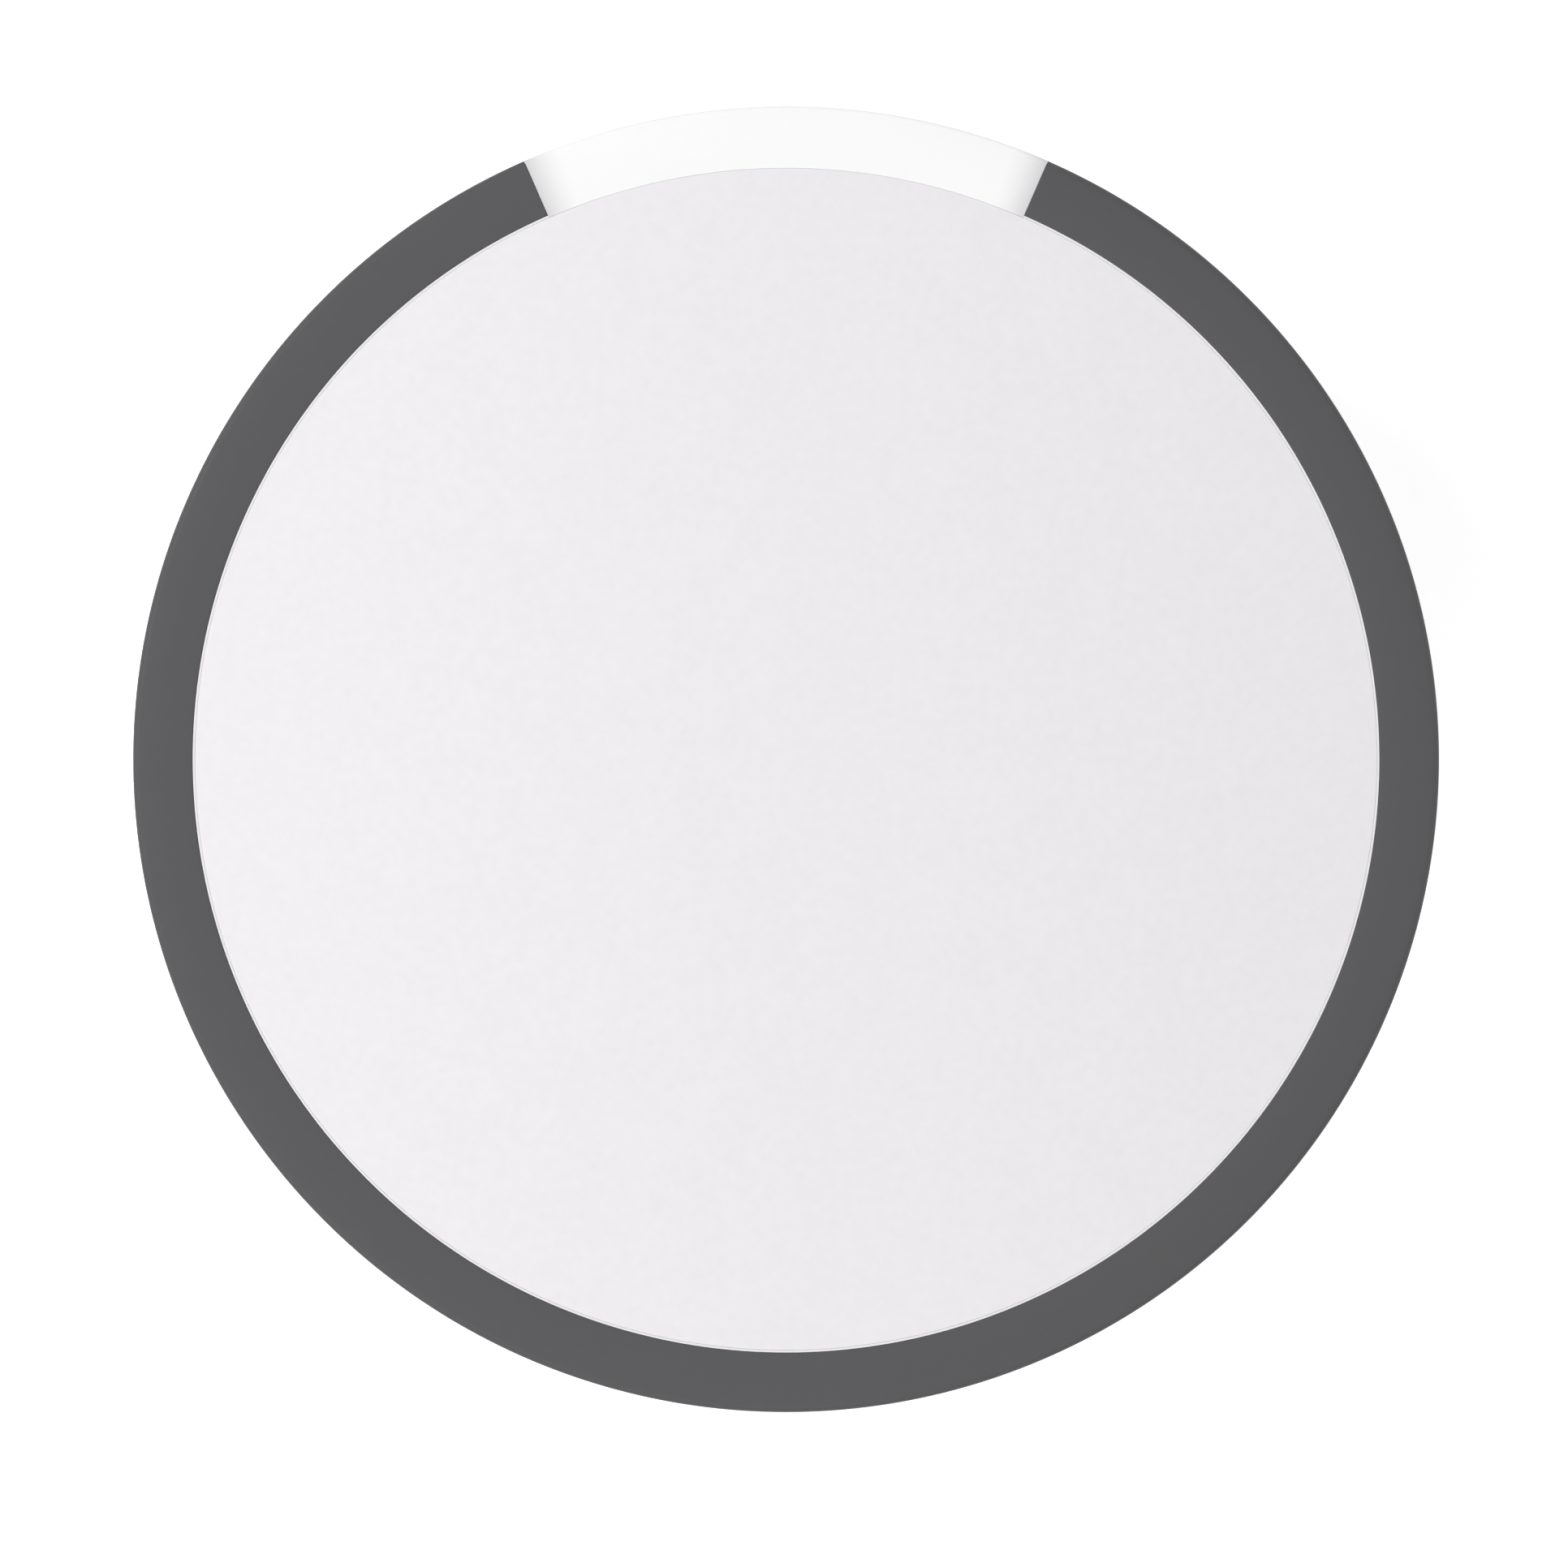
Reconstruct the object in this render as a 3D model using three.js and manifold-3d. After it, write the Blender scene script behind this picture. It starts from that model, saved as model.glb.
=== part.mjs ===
// Round wall thermostat with a turning ring and a face that presses in. Millimetres.
// The device is drawn as it is seen on the wall, x to the right, y up and z out of the wall,
// and the whole group is then turned so that +Z is up and the face looks along -Y.
import * as THREE from "three";
import { mergeVertices } from "three/addons/utils/BufferGeometryUtils.js";
import Module from "manifold-3d";

const wasm = await Module();
wasm.setup();

const degree = Math.PI / 180;

// Overall sizes
const outerRadius = 43;
const depth = 27;
const ringWidth = 3.9;

// Clearances
const runGap = 0.2;
const seatGap = 0.3;

// Travel
const turnHalfRange = 135 * degree;
const pressTravel = 0.4;
const pressReserve = 0.5;

// Turning ring: dark grip over an opal carrier
const gripWall = 1.2;
const gripFlange = 1.2;
const gripBevel = 0.6;
const gripLipDepth = 0.5;
const gripLipReach = 0.7;
const notchHalfAngle = 23.66 * degree;
const notchDepth = 6.5;
const indexEndGap = 0.26;
const indexSink = 0.3;
const carrierBevel = 0.4;

// Ring gear and pinion
const toothModule = 1;
const pinionTeeth = 11;
const pressureAngle = 20 * degree;
const gearWidth = 3;
const gearWall = 1.7;
const backlash = 0.2;
const rootClearance = 0.2;
const gearTipShare = 0.6;
const meshHalfAngle = 14 * degree;
const lugHalfAngle = 2.2 * degree;
const lugReach = 1.75;
const stopHalfAngle = 2 * degree;
const stopThickness = 2;
const stopGap = 0.45;

// Face
const faceThickness = 2;
const faceBevel = 0.4;
const displayPocket = 0.8;
const guidePinRadius = 1.1;
const guidePinInset = 6.8;
const guidePinAngles = [90, 225, 315].map((a) => a * degree);
const hookInset = 6.3;
const hookAngles = [45, 135, 270].map((a) => a * degree);
const hookWidth = 5;
const hookThickness = 1.2;
const hookNose = 0.8;
const buttonOffset = 20;

// Frame, light guide and board
const frameWall = 1.6;
const webThickness = 1.1;
const webEdge = 1.3;
const guideThickness = 0.9;
const boardThickness = 1.6;
const boardPartsHeight = 2.3;
const lampCount = 12;
const lampInset = 1.4;
const lampSize = [1.6, 2];
const lampHeight = 0.6;
const sleeveWall = 0.8;
const sleeveDrop = 0.6;
const springRadius = 1.9;
const springWire = 0.2;
const springTurns = 3;

// Parts on the board
const displayWidth = 44;
const displayHeight = 24;
const displayDepth = 2.8;
const bezelWall = 1.1;
const bezelLip = 1;
const windowWidth = 40;
const windowHeight = 20;
const switchWidth = 6.2;
const switchHeight = 2;
const plungerSeat = 1;
const plungerRadius = 1.5;
const plungerLength = 2.2;
const encoderRadius = 3.2;
const encoderDepth = 1.9;
const shaftRadius = 1.4;
const pivotRadius = 1.1;
const pivotLength = 2.4;
const pivotFootGap = 2;
const collarStep = 0.7;
const relaySize = [14.5, 9, 8.4];
const relayInset = 3.6;
const relayGap = 0.6;
const radioSize = [12, 8.5, 1.1];
const radioBase = 0.7;
const partGap = 0.5;
const chipSize = 6.4;
const chipHeight = 1;
const capacitorRadius = 2;
const capacitorHeight = 1.9;
const partOffset = 10.5;
const sensorSize = [8, 1, 8.2];
const sensorBead = 0.8;
const sensorTip = 0.5;

// Rear housing
const rimInset = 1.6;
const skirtInset = 3.6;
const skirtStart = 1.2;
const housingWall = 1.6;
const glideThickness = 0.8;
const glideWidth = 0.9;
const ventAngles = [-12, -6, 0, 6, 12].map((a) => a * degree);
const ventWidth = 1.6;
const ventMargin = 1;

// Two AAA cells side by side and their bay
const cellRadius = 5.25;
const cellLength = 44.5;
const nubRadius = 1.9;
const nubLength = 0.8;
const cellPitch = 11.7;
const bayWall = 1;
const bayGap = 1;
const springAllowance = 5.5;
const contactThickness = 0.4;
const contactWidth = 7.4;
const tabWidth = 1.6;
const tabReach = 0.4;
const coilRadius = 2.6;
const coilWire = 0.35;
const coilTurns = 3;

// Wall plate
const plateThickness = 2;
const plateGap = 0.8;
const plateRim = 1.6;
const rimHeight = 1.4;
const wallScrewInset = 7;
const wallScrewSlot = [3.8, 8];
const wallScrewRecess = 2.2;
const recessDepth = 0.6;
const cableWindowWidth = 28;
const cableWindowGap = 2.6;
const blockGap = 2;
const windowLip = 1.2;
const lipHeight = 1;
const postRadius = 2.4;
const postInset = 4.6;
const lowerPostAngle = 32 * degree;
const postReach = 1.6;
const postTip = 1.4;
const postSlit = 0.8;
const postFoot = 2.6;
const socketWall = 1;

// Terminals
const terminalPitch = 5.08;
const terminalCount = 4;
const blockDepth = 10;
const blockHeight = 7.7;
const blockInset = 5;
const blockSide = 0.85;
const wireHoleRadius = 1.3;
const wireHoleHeight = 2.7;
const wireHoleDepth = 4.5;
const terminalScrewInset = 2.6;
const terminalScrewSink = 0.6;
const pinInset = 2.4;
const pinWidth = 0.9;
const pinEngagement = 3;
const headerHeight = 2.5;
const headerWidth = 2.6;
const pegRadius = 1;
const pocketGap = 0.6;
const pocketWall = 1;

// Screws: head radius, head height, shank radius
const housingScrew = { head: 2.3, headHeight: 1.6, shank: 1.1, length: 10 };
const boardScrew = { head: 2, headHeight: 1.1, shank: 0.9, length: 6 };
const terminalScrew = { head: 1.8, headHeight: 1.6, shank: 1.1, length: 2 };
const screwPlay = 0.3;
const bossWall = 1.3;
const housingScrewInset = 4.7;
const wellWall = 0.9;
const wellFloor = 1.2;
const housingScrewAngles = [65, 115, 237, 303].map((a) => a * degree);
const boardScrewInset = 10.75;
const boardScrewGap = 1.6;

// Facets
const roundFacets = 60;
const smallFacets = 10;
const screwFacets = 8;
const flankPoints = 3;

// Radii of the nested rings, from the outside in
const gripInner = outerRadius - gripWall;
const carrierOuter = gripInner - seatGap;
const faceOpening = outerRadius - ringWidth;
const faceRadius = faceOpening - runGap;
const frameOuter = faceOpening - runGap;
const frameInner = frameOuter - frameWall;
const boardRadius = frameInner - seatGap;
const guidePinCircle = frameInner - guidePinInset;
const hookCircle = frameInner - hookInset;
const webOpening = hookCircle - hookThickness / 2 - hookNose - seatGap - webEdge;
const lampCircle = boardRadius - lampInset;
const housingScrewCircle = frameInner - housingScrewInset;

// Heights above the wall, from the front back
const faceBack = depth - faceThickness;
const carrierTop = depth - gripFlange - seatGap;
const lightGuideTop = faceBack - pressTravel - pressReserve;
const webTop = lightGuideTop - guideThickness - seatGap;
const webBottom = webTop - webThickness;
const boardTop = webBottom - boardPartsHeight;
const boardBottom = boardTop - boardThickness;
const gearTop = boardBottom - seatGap;
const carrierBottom = gearTop - gearWidth;
const glideTop = carrierBottom - runGap;
const rimTop = glideTop - glideThickness - runGap;
const notchBottom = depth - notchDepth;
const floorEnd = boardBottom - seatGap - relaySize[2] - relayGap;
const floorStart = floorEnd - housingWall;
const bayTop = boardBottom - seatGap;
const cellRoom = cellRadius + seatGap;
const cellHeight = bayTop - bayWall - cellRoom;
const blockBase = plateThickness + seatGap;
const blockEnd = blockBase + blockHeight;

// Ring gear: as many teeth as the carrier has room for
const gearRoom = carrierOuter - gearWall - rootClearance - toothModule;
const gearTeeth = Math.floor((2 * gearRoom) / toothModule);
const gearPitch = (toothModule * gearTeeth) / 2;
const pinionPitch = (toothModule * pinionTeeth) / 2;
const shaftCircle = gearPitch - pinionPitch;
const gearRoot = gearPitch + toothModule + rootClearance;
const gearTip = gearPitch - toothModule * gearTipShare;
const pinionPlace = [-shaftCircle, 0];

// Rear housing
const rimRadius = outerRadius - rimInset;
const skirtRadius = outerRadius - skirtInset;
const plateRadius = skirtRadius - housingWall - plateGap;

// Relay at the rim and the cell bay under it
const relayCentre = [0, boardRadius - relayInset - relaySize[1] / 2];
const bayEdge = relayCentre[1] - relaySize[1] / 2 - bayGap;
const bayCentre = bayEdge - bayWall - cellRoom - cellPitch / 2;
const bayFoot = bayCentre - cellPitch / 2 - cellRoom - bayWall;
const bayLength = cellLength + springAllowance;

// Radio above the display
const displayFrameTop = displayHeight / 2 + seatGap + bezelWall;
const displayFrameWidth = displayWidth + 2 * (seatGap + bezelWall);
const radioCentre = [0, displayFrameTop + partGap + radioSize[1] / 2];

// Board screws: two below the display, one beside the relay
const bossReach = boardScrew.shank + screwPlay + bossWall;
const boardScrewY = -displayFrameTop - boardScrewGap - boardScrew.head;
const boardScrewX = Math.sqrt((boardRadius - boardScrewInset) ** 2 - boardScrewY ** 2);
const boardScrewPlaces = [
  [-boardScrewX, boardScrewY],
  [boardScrewX, boardScrewY],
  [-relaySize[0] / 2 - partGap - bossReach, bayEdge + bossReach - bayWall],
];

// Wall plate
const wallScrewSpacing = 2 * (plateRadius - wallScrewInset);
const postCircle = plateRadius - postInset;
const postRoom = postRadius + seatGap;
const upperPostAngle = Math.asin((bayEdge + postRoom) / postCircle);
const postAngles = [upperPostAngle, Math.PI - upperPostAngle, Math.PI + lowerPostAngle, -lowerPostAngle];

// Terminal block and the cable window over it
const blockWidth = terminalCount * terminalPitch + 2 * blockSide;
const blockBottom = blockInset - plateRadius;
const blockTop = blockBottom + blockDepth;
const cableWindowTop = bayFoot - cableWindowGap;
const cableWindow = [cableWindowWidth, cableWindowTop - blockTop - blockGap];
const firstTerminal = -((terminalCount - 1) / 2) * terminalPitch;
const terminalXs = Array.from({ length: terminalCount }, (_, i) => firstTerminal + i * terminalPitch);
const terminalScrewY = blockTop - terminalScrewInset;
const pinRowY = blockBottom + pinInset;
const pocketTop = blockEnd + 2 * pocketGap;
const sensorY = blockBottom - pocketGap - pocketWall - sensorSize[1] / 2 - 2 * seatGap;

const finishes = {
  faceWhite: { color: 0xf0eef1, roughness: 0.55, metalness: 0 },
  shellWhite: { color: 0xe9e7e8, roughness: 0.6, metalness: 0 },
  gripGrey: { color: 0x5c5c5e, roughness: 0.6, metalness: 0 },
  opal: { color: 0xfbfbfb, roughness: 0.45, metalness: 0 },
  clear: { color: 0xe4eef2, roughness: 0.15, metalness: 0 },
  innerBlack: { color: 0x26272a, roughness: 0.7, metalness: 0 },
  boardGreen: { color: 0x1f5a3c, roughness: 0.5, metalness: 0 },
  displayGlass: { color: 0x101216, roughness: 0.1, metalness: 0 },
  acetal: { color: 0xdedbd2, roughness: 0.4, metalness: 0 },
  steel: { color: 0xb8babd, roughness: 0.35, metalness: 1 },
  cellSleeve: { color: 0x3d4348, roughness: 0.4, metalness: 0.2 },
  relayBlue: { color: 0x2c4a78, roughness: 0.5, metalness: 0 },
  terminalGreen: { color: 0x3c7a58, roughness: 0.5, metalness: 0 },
};

// A closed three.js geometry as a solid that can be joined and cut.
function solid(geometry) {
  const bare = new THREE.BufferGeometry();
  bare.setAttribute("position", geometry.getAttribute("position"));
  bare.setIndex(geometry.index);
  const merged = mergeVertices(bare, 1e-4);
  const vertProperties = merged.getAttribute("position").array;
  const triVerts = new Uint32Array(merged.index.array);
  return new wasm.Manifold(new wasm.Mesh({ numProp: 3, vertProperties, triVerts }));
}

function joined(solids) {
  return solids.reduce((all, next) => all.add(next));
}

// A ring or disc about the front axis, from [radius, height] points that run anticlockwise.
function turned(points, facets = roundFacets) {
  const profile = points.map(([r, z]) => new THREE.Vector2(r, z));
  const onAxis = points[0][0] === 0;
  if (!onAxis) profile.push(profile[0].clone());
  return solid(new THREE.LatheGeometry(profile, facets).rotateX(Math.PI / 2));
}

function extruded(shape, from, to, curveSegments = smallFacets) {
  const options = { depth: to - from, bevelEnabled: false, curveSegments };
  return solid(new THREE.ExtrudeGeometry(shape, options).translate(0, 0, from));
}

function box(width, height, from, to, x = 0, y = 0) {
  const geometry = new THREE.BoxGeometry(width, height, to - from);
  return solid(geometry.translate(x, y, (from + to) / 2));
}

function cylinder(radius, from, to, [x, y] = [0, 0], facets = smallFacets) {
  const geometry = new THREE.CylinderGeometry(radius, radius, to - from, facets);
  return solid(geometry.rotateX(Math.PI / 2).translate(x, y, (from + to) / 2));
}

function roundedBox(width, height, corner, from, to, x = 0, y = 0) {
  const [w, h] = [width / 2, height / 2];
  const shape = new THREE.Shape();
  shape.absarc(w - corner, h - corner, corner, 0, Math.PI / 2);
  shape.absarc(corner - w, h - corner, corner, Math.PI / 2, Math.PI);
  shape.absarc(corner - w, corner - h, corner, Math.PI, 1.5 * Math.PI);
  shape.absarc(w - corner, corner - h, corner, 1.5 * Math.PI, 2 * Math.PI);
  return extruded(shape, from, to, 2).translate([x, y, 0]);
}

// A sector between two radii, centred on an angle.
function sector(inner, outer, halfAngle, centre, from, to) {
  const shape = new THREE.Shape();
  shape.absarc(0, 0, outer, centre - halfAngle, centre + halfAngle, false);
  shape.absarc(0, 0, inner, centre + halfAngle, centre - halfAngle, true);
  const steps = Math.max(2, Math.round((halfAngle / Math.PI) * roundFacets));
  return extruded(shape, from, to, steps);
}

function onCircle(radius, angle) {
  return [radius * Math.cos(angle), radius * Math.sin(angle)];
}

// Moves a solid drawn along +x from the axis round to an angle.
function swung(part, angle) {
  return part.rotate([0, 0, angle / degree]);
}

function evenly(count, start = 0) {
  return Array.from({ length: count }, (_, i) => start + (i * 2 * Math.PI) / count);
}

function involute(angle) {
  return Math.tan(angle) - angle;
}

// The outline of an involute gear with a space on the -x side, where the gear and pinion meet.
// Extra thickens each tooth at the pitch circle, in millimetres.
function toothedOutline(teeth, innerRadius, tipRadius, extra) {
  const pitch = (toothModule * teeth) / 2;
  const base = pitch * Math.cos(pressureAngle);
  const pitchHalf = Math.PI / (2 * teeth) + extra / (2 * pitch) + involute(pressureAngle);
  const halfAngleAt = (radius) => pitchHalf - involute(Math.acos(base / Math.max(radius, base)));
  const step = (tipRadius - innerRadius) / (flankPoints - 1);
  const radii = Array.from({ length: flankPoints }, (_, i) => innerRadius + i * step);
  const points = [];
  for (const centre of evenly(teeth, Math.PI + Math.PI / teeth)) {
    for (const r of radii) points.push(onCircle(r, centre - halfAngleAt(r)));
    for (const r of radii.toReversed()) points.push(onCircle(r, centre + halfAngleAt(r)));
  }
  return new THREE.Shape(points.map(([x, y]) => new THREE.Vector2(x, y)));
}

class Helix extends THREE.Curve {
  constructor(radius, height, turns) {
    super();
    Object.assign(this, { radius, height, turns });
  }

  getPoint(t, target = new THREE.Vector3()) {
    const [x, y] = onCircle(this.radius, t * this.turns * 2 * Math.PI);
    return target.set(x, y, t * this.height);
  }
}

// A coil spring standing on z = 0, with its wire inside the height given.
function coil(radius, wire, height, turns) {
  const section = new THREE.Shape(evenly(4).map((a) => new THREE.Vector2(...onCircle(wire, a))));
  const path = new Helix(radius, height - 2 * wire, turns);
  const options = { steps: Math.round(turns * 8), extrudePath: path, bevelEnabled: false };
  return solid(new THREE.ExtrudeGeometry(section, options).translate(0, 0, wire));
}

// A pan-head screw with its head on z = 0 and its shank along -z.
function screw({ head, headHeight, shank, length }) {
  const point = shank * 0.8;
  return turned(
    [
      [0, -length],
      [shank, point - length],
      [shank, 0],
      [head, 0],
      [head, headHeight * 0.5],
      [head * 0.7, headHeight],
      [0, headHeight],
    ],
    screwFacets,
  );
}

function piece(name, part, finish) {
  const { vertProperties, triVerts } = part.getMesh();
  const geometry = new THREE.BufferGeometry();
  geometry.setAttribute("position", new THREE.BufferAttribute(vertProperties, 3));
  geometry.setIndex(new THREE.BufferAttribute(triVerts, 1));
  const mesh = new THREE.Mesh(geometry, new THREE.MeshStandardMaterial(finishes[finish]));
  mesh.name = name;
  return mesh;
}

function placed(mesh, [x, y], z) {
  mesh.position.set(x, y, z);
  return mesh;
}

// Front of the turning ring, shared by the grip and by the index that fills its notch.
function ringFront(inner, top) {
  return [
    [outerRadius, top - gripBevel],
    [outerRadius - gripBevel, top],
    [inner, top],
  ];
}

function gripRing() {
  const lipBottom = carrierBottom - runGap - gripLipDepth;
  const body = turned([
    [gripInner - gripLipReach, lipBottom],
    [outerRadius, lipBottom],
    ...ringFront(faceOpening, depth),
    [faceOpening, depth - gripFlange],
    [gripInner, depth - gripFlange],
    [gripInner, lipBottom + gripLipDepth],
    [gripInner - gripLipReach, lipBottom + gripLipDepth],
  ]);
  const notch = sector(webOpening, outerRadius + 1, notchHalfAngle, Math.PI / 2, notchBottom, depth + 1);
  return body.subtract(notch);
}

// Opal carrier: a bearing land inside, the raised index, the ring gear and the stop lug.
function dialCarrier() {
  const grooveRadius = gearRoot + seatGap;
  const landBottom = boardTop + runGap;
  const body = turned([
    [gearTip, carrierBottom],
    [carrierOuter - carrierBevel, carrierBottom],
    [carrierOuter, carrierBottom + carrierBevel],
    [carrierOuter, carrierTop],
    [faceOpening, carrierTop],
    [faceOpening, landBottom],
    [grooveRadius, landBottom - (grooveRadius - faceOpening)],
    [grooveRadius, gearTop],
    [gearTip, gearTop],
  ]);
  const top = depth - indexSink;
  const indexFoot = notchBottom + seatGap;
  const indexRing = turned([
    [carrierOuter - seatGap, indexFoot],
    [outerRadius, indexFoot],
    ...ringFront(faceOpening, top),
    [faceOpening, carrierTop - seatGap],
    [carrierOuter - seatGap, carrierTop - seatGap],
  ]);
  const indexHalfAngle = notchHalfAngle - indexEndGap / outerRadius;
  const window = sector(webOpening, outerRadius + 1, indexHalfAngle, Math.PI / 2, 0, depth);
  const spaces = extruded(
    toothedOutline(gearTeeth, gearTip - toothModule * 0.25, gearRoot, backlash / 2),
    carrierBottom - 1,
    gearTop + runGap,
  );
  const plainHalfAngle = Math.PI - turnHalfRange - meshHalfAngle;
  const plainArc = sector(webOpening, outerRadius, plainHalfAngle, 0, carrierBottom - 2, carrierTop);
  const lug = sector(gearTip - lugReach, gearTip + seatGap, lugHalfAngle, 0, carrierBottom, gearTop);
  return joined([body.subtract(spaces.subtract(plainArc)), indexRing.intersect(window), lug]);
}

function glideRing() {
  const inner = rimRadius - housingWall + seatGap / 2;
  return turned(
    [
      [inner, rimTop + runGap],
      [inner + glideWidth, rimTop + runGap],
      [inner + glideWidth, glideTop],
      [inner, glideTop],
    ],
    roundFacets / 2,
  );
}

// A hook under the face, drawn at angle 0. Its nose catches behind the web of the frame.
function faceHook() {
  const noseTop = webBottom - runGap;
  const [inner, outer] = [hookCircle - hookThickness / 2, hookCircle + hookThickness / 2];
  const shape = new THREE.Shape([
    new THREE.Vector2(inner, faceBack + faceThickness / 4),
    new THREE.Vector2(inner, noseTop - hookNose),
    new THREE.Vector2(outer, noseTop - hookNose),
    new THREE.Vector2(outer + hookNose, noseTop - hookNose / 3),
    new THREE.Vector2(outer + hookNose, noseTop),
    new THREE.Vector2(outer, noseTop),
    new THREE.Vector2(outer, faceBack + faceThickness / 4),
  ]);
  const options = { depth: hookWidth, bevelEnabled: false };
  const geometry = new THREE.ExtrudeGeometry(shape, options).translate(0, 0, -hookWidth / 2);
  return solid(geometry.rotateX(Math.PI / 2));
}

function frontCover() {
  const disc = turned([
    [0, faceBack],
    [faceRadius, faceBack],
    [faceRadius, depth - faceBevel],
    [faceRadius - faceBevel, depth],
    [0, depth],
  ]);
  const pocket = roundedBox(
    displayWidth + 2 * seatGap,
    displayHeight + 2 * seatGap,
    2,
    faceBack - 1,
    faceBack + displayPocket,
  );
  const pinEnd = webBottom - sleeveDrop;
  const root = faceBack + faceThickness / 4;
  const guidePin = cylinder(guidePinRadius, pinEnd, root, [guidePinCircle, 0]);
  const pins = guidePinAngles.map((a) => swung(guidePin, a));
  const hooks = hookAngles.map((a) => swung(faceHook(), a));
  const actuator = cylinder(plungerRadius + 0.5, plungerTop() + runGap, root, [0, -buttonOffset]);
  return joined([disc.subtract(pocket), ...pins, ...hooks, actuator]);
}

function plungerTop() {
  return boardTop + runGap + plungerSeat + plungerLength;
}

function sleeveRadius() {
  return springRadius + springWire + runGap + sleeveWall;
}

function springSeat() {
  return webBottom + webThickness / 2;
}

function lightGuide() {
  const inner = guidePinCircle + sleeveRadius() + seatGap;
  const outer = frameOuter - seatGap;
  const bottom = lightGuideTop - guideThickness;
  return turned(
    [
      [inner, bottom],
      [outer, bottom],
      [outer, lightGuideTop],
      [inner + guideThickness / 2, lightGuideTop],
    ],
    roundFacets / 2,
  );
}

function midFrame() {
  const wall = turned([
    [frameInner, boardBottom],
    [frameOuter, boardBottom],
    [frameOuter, webTop],
    [webOpening, webTop],
    [webOpening, webBottom],
    [frameInner, webBottom],
  ]);
  const bossBottom = housingBossTop() + seatGap;
  const bossRadius = housingScrew.shank + screwPlay + bossWall;
  const bosses = [];
  const cuts = [];
  for (const angle of housingScrewAngles) {
    const place = onCircle(housingScrewCircle, angle);
    bosses.push(cylinder(bossRadius, bossBottom, webTop, place));
    cuts.push(cylinder(housingScrew.shank + screwPlay, bossBottom - 1, webBottom - 1, place));
  }
  for (const angle of guidePinAngles) {
    const place = onCircle(guidePinCircle, angle);
    bosses.push(cylinder(sleeveRadius(), webBottom - sleeveDrop, lightGuideTop, place));
    cuts.push(cylinder(guidePinRadius + runGap, boardTop, depth, place));
    cuts.push(cylinder(springRadius + springWire + runGap, springSeat(), depth, place));
  }
  const [lampHoleX, lampHoleY] = lampSize.map((side) => side + 2 * runGap);
  const lampHole = box(lampHoleX, lampHoleY, webBottom - 1, webTop + 1, lampCircle);
  for (const angle of evenly(lampCount, Math.PI / lampCount)) cuts.push(swung(lampHole, angle));
  const slotInner = hookCircle - hookThickness / 2 - hookNose - seatGap;
  const slotOuter = hookCircle + hookThickness / 2 + seatGap;
  const slotMiddle = (slotInner + slotOuter) / 2;
  const slot = box(slotOuter - slotInner, hookWidth + 2 * seatGap, webBottom - 1, webTop + 1, slotMiddle);
  for (const angle of hookAngles) cuts.push(swung(slot, angle));
  cuts.push(box(displayFrameWidth + 2 * partGap, 2 * (displayFrameTop + partGap), webBottom - 1, webTop + 1));
  return joined([wall, ...bosses]).subtract(joined(cuts));
}

function faceSpring() {
  return coil(springRadius, springWire, faceBack - springSeat() - 2 * runGap, springTurns);
}

function mainBoard() {
  const blank = cylinder(boardRadius, boardBottom, boardTop, [0, 0], roundFacets);
  const lamp = box(...lampSize, boardTop - 0.1, boardTop + lampHeight, lampCircle);
  const lamps = evenly(lampCount, Math.PI / lampCount).map((a) => swung(lamp, a));
  const bossRadius = housingScrew.shank + screwPlay + bossWall;
  const through = (radius, place) => cylinder(radius, boardBottom - 1, boardTop + 1, place);
  const cuts = [
    ...housingScrewAngles.map((a) => through(bossRadius + seatGap, onCircle(housingScrewCircle, a))),
    ...boardScrewPlaces.map((place) => through(boardScrew.shank + screwPlay, place)),
    through(shaftRadius + seatGap, pinionPlace),
    ...tabSlots(boardBottom - 1, boardTop + 1),
  ];
  const base = boardTop - 0.1;
  const chipY = boardScrewY - boardScrew.head - partGap - chipSize / 2;
  const chip = box(chipSize, chipSize, base, boardTop + chipHeight, partOffset, chipY);
  const capacitors = [0, 1].map((row) => {
    const y = -buttonOffset - row * (2 * capacitorRadius + partGap);
    return cylinder(capacitorRadius, base, boardTop + capacitorHeight, [-partOffset, y]);
  });
  return joined([blank, ...lamps, chip, ...capacitors]).subtract(joined(cuts));
}

function displayModule() {
  const base = boardTop + seatGap;
  const glassStep = displayDepth * 0.4;
  const carrier = roundedBox(displayWidth, displayHeight, 0.8, base, base + glassStep);
  const glass = roundedBox(displayWidth - 1, displayHeight - 1, 0.8, base, base + displayDepth);
  return carrier.add(glass);
}

function displayBezel() {
  const base = boardTop + seatGap;
  const front = base + displayDepth + seatGap + bezelLip;
  const outer = roundedBox(displayFrameWidth, 2 * displayFrameTop, 2, base, front);
  const [roomWidth, roomHeight] = [displayWidth + 2 * seatGap, displayHeight + 2 * seatGap];
  const room = box(roomWidth, roomHeight, base - 1, front - bezelLip);
  const window = roundedBox(windowWidth, windowHeight, 1.5, base, front + 1);
  return outer.subtract(room).subtract(window);
}

function switchBody() {
  const base = boardTop + runGap;
  const wellRadius = plungerRadius + runGap;
  const body = roundedBox(switchWidth, switchWidth, 0.6, base, base + switchHeight);
  const well = cylinder(wellRadius, base + plungerSeat - pressTravel - runGap, base + switchHeight + 1);
  return body.subtract(well);
}

function encoderBody() {
  const base = boardTop + runGap;
  const can = cylinder(encoderRadius, base, base + encoderDepth, [0, 0], 2 * smallFacets);
  const tailWidth = 1.25 * encoderRadius;
  const tailMiddle = encoderRadius - tailWidth / 2;
  const tailTop = base + encoderDepth * 0.7;
  const tail = box(tailWidth, 2 * encoderRadius, base, tailTop, tailMiddle, -encoderRadius);
  const bore = cylinder(shaftRadius + seatGap, base - 1, base + encoderDepth + 1);
  return can.add(tail).subtract(bore);
}

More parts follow.
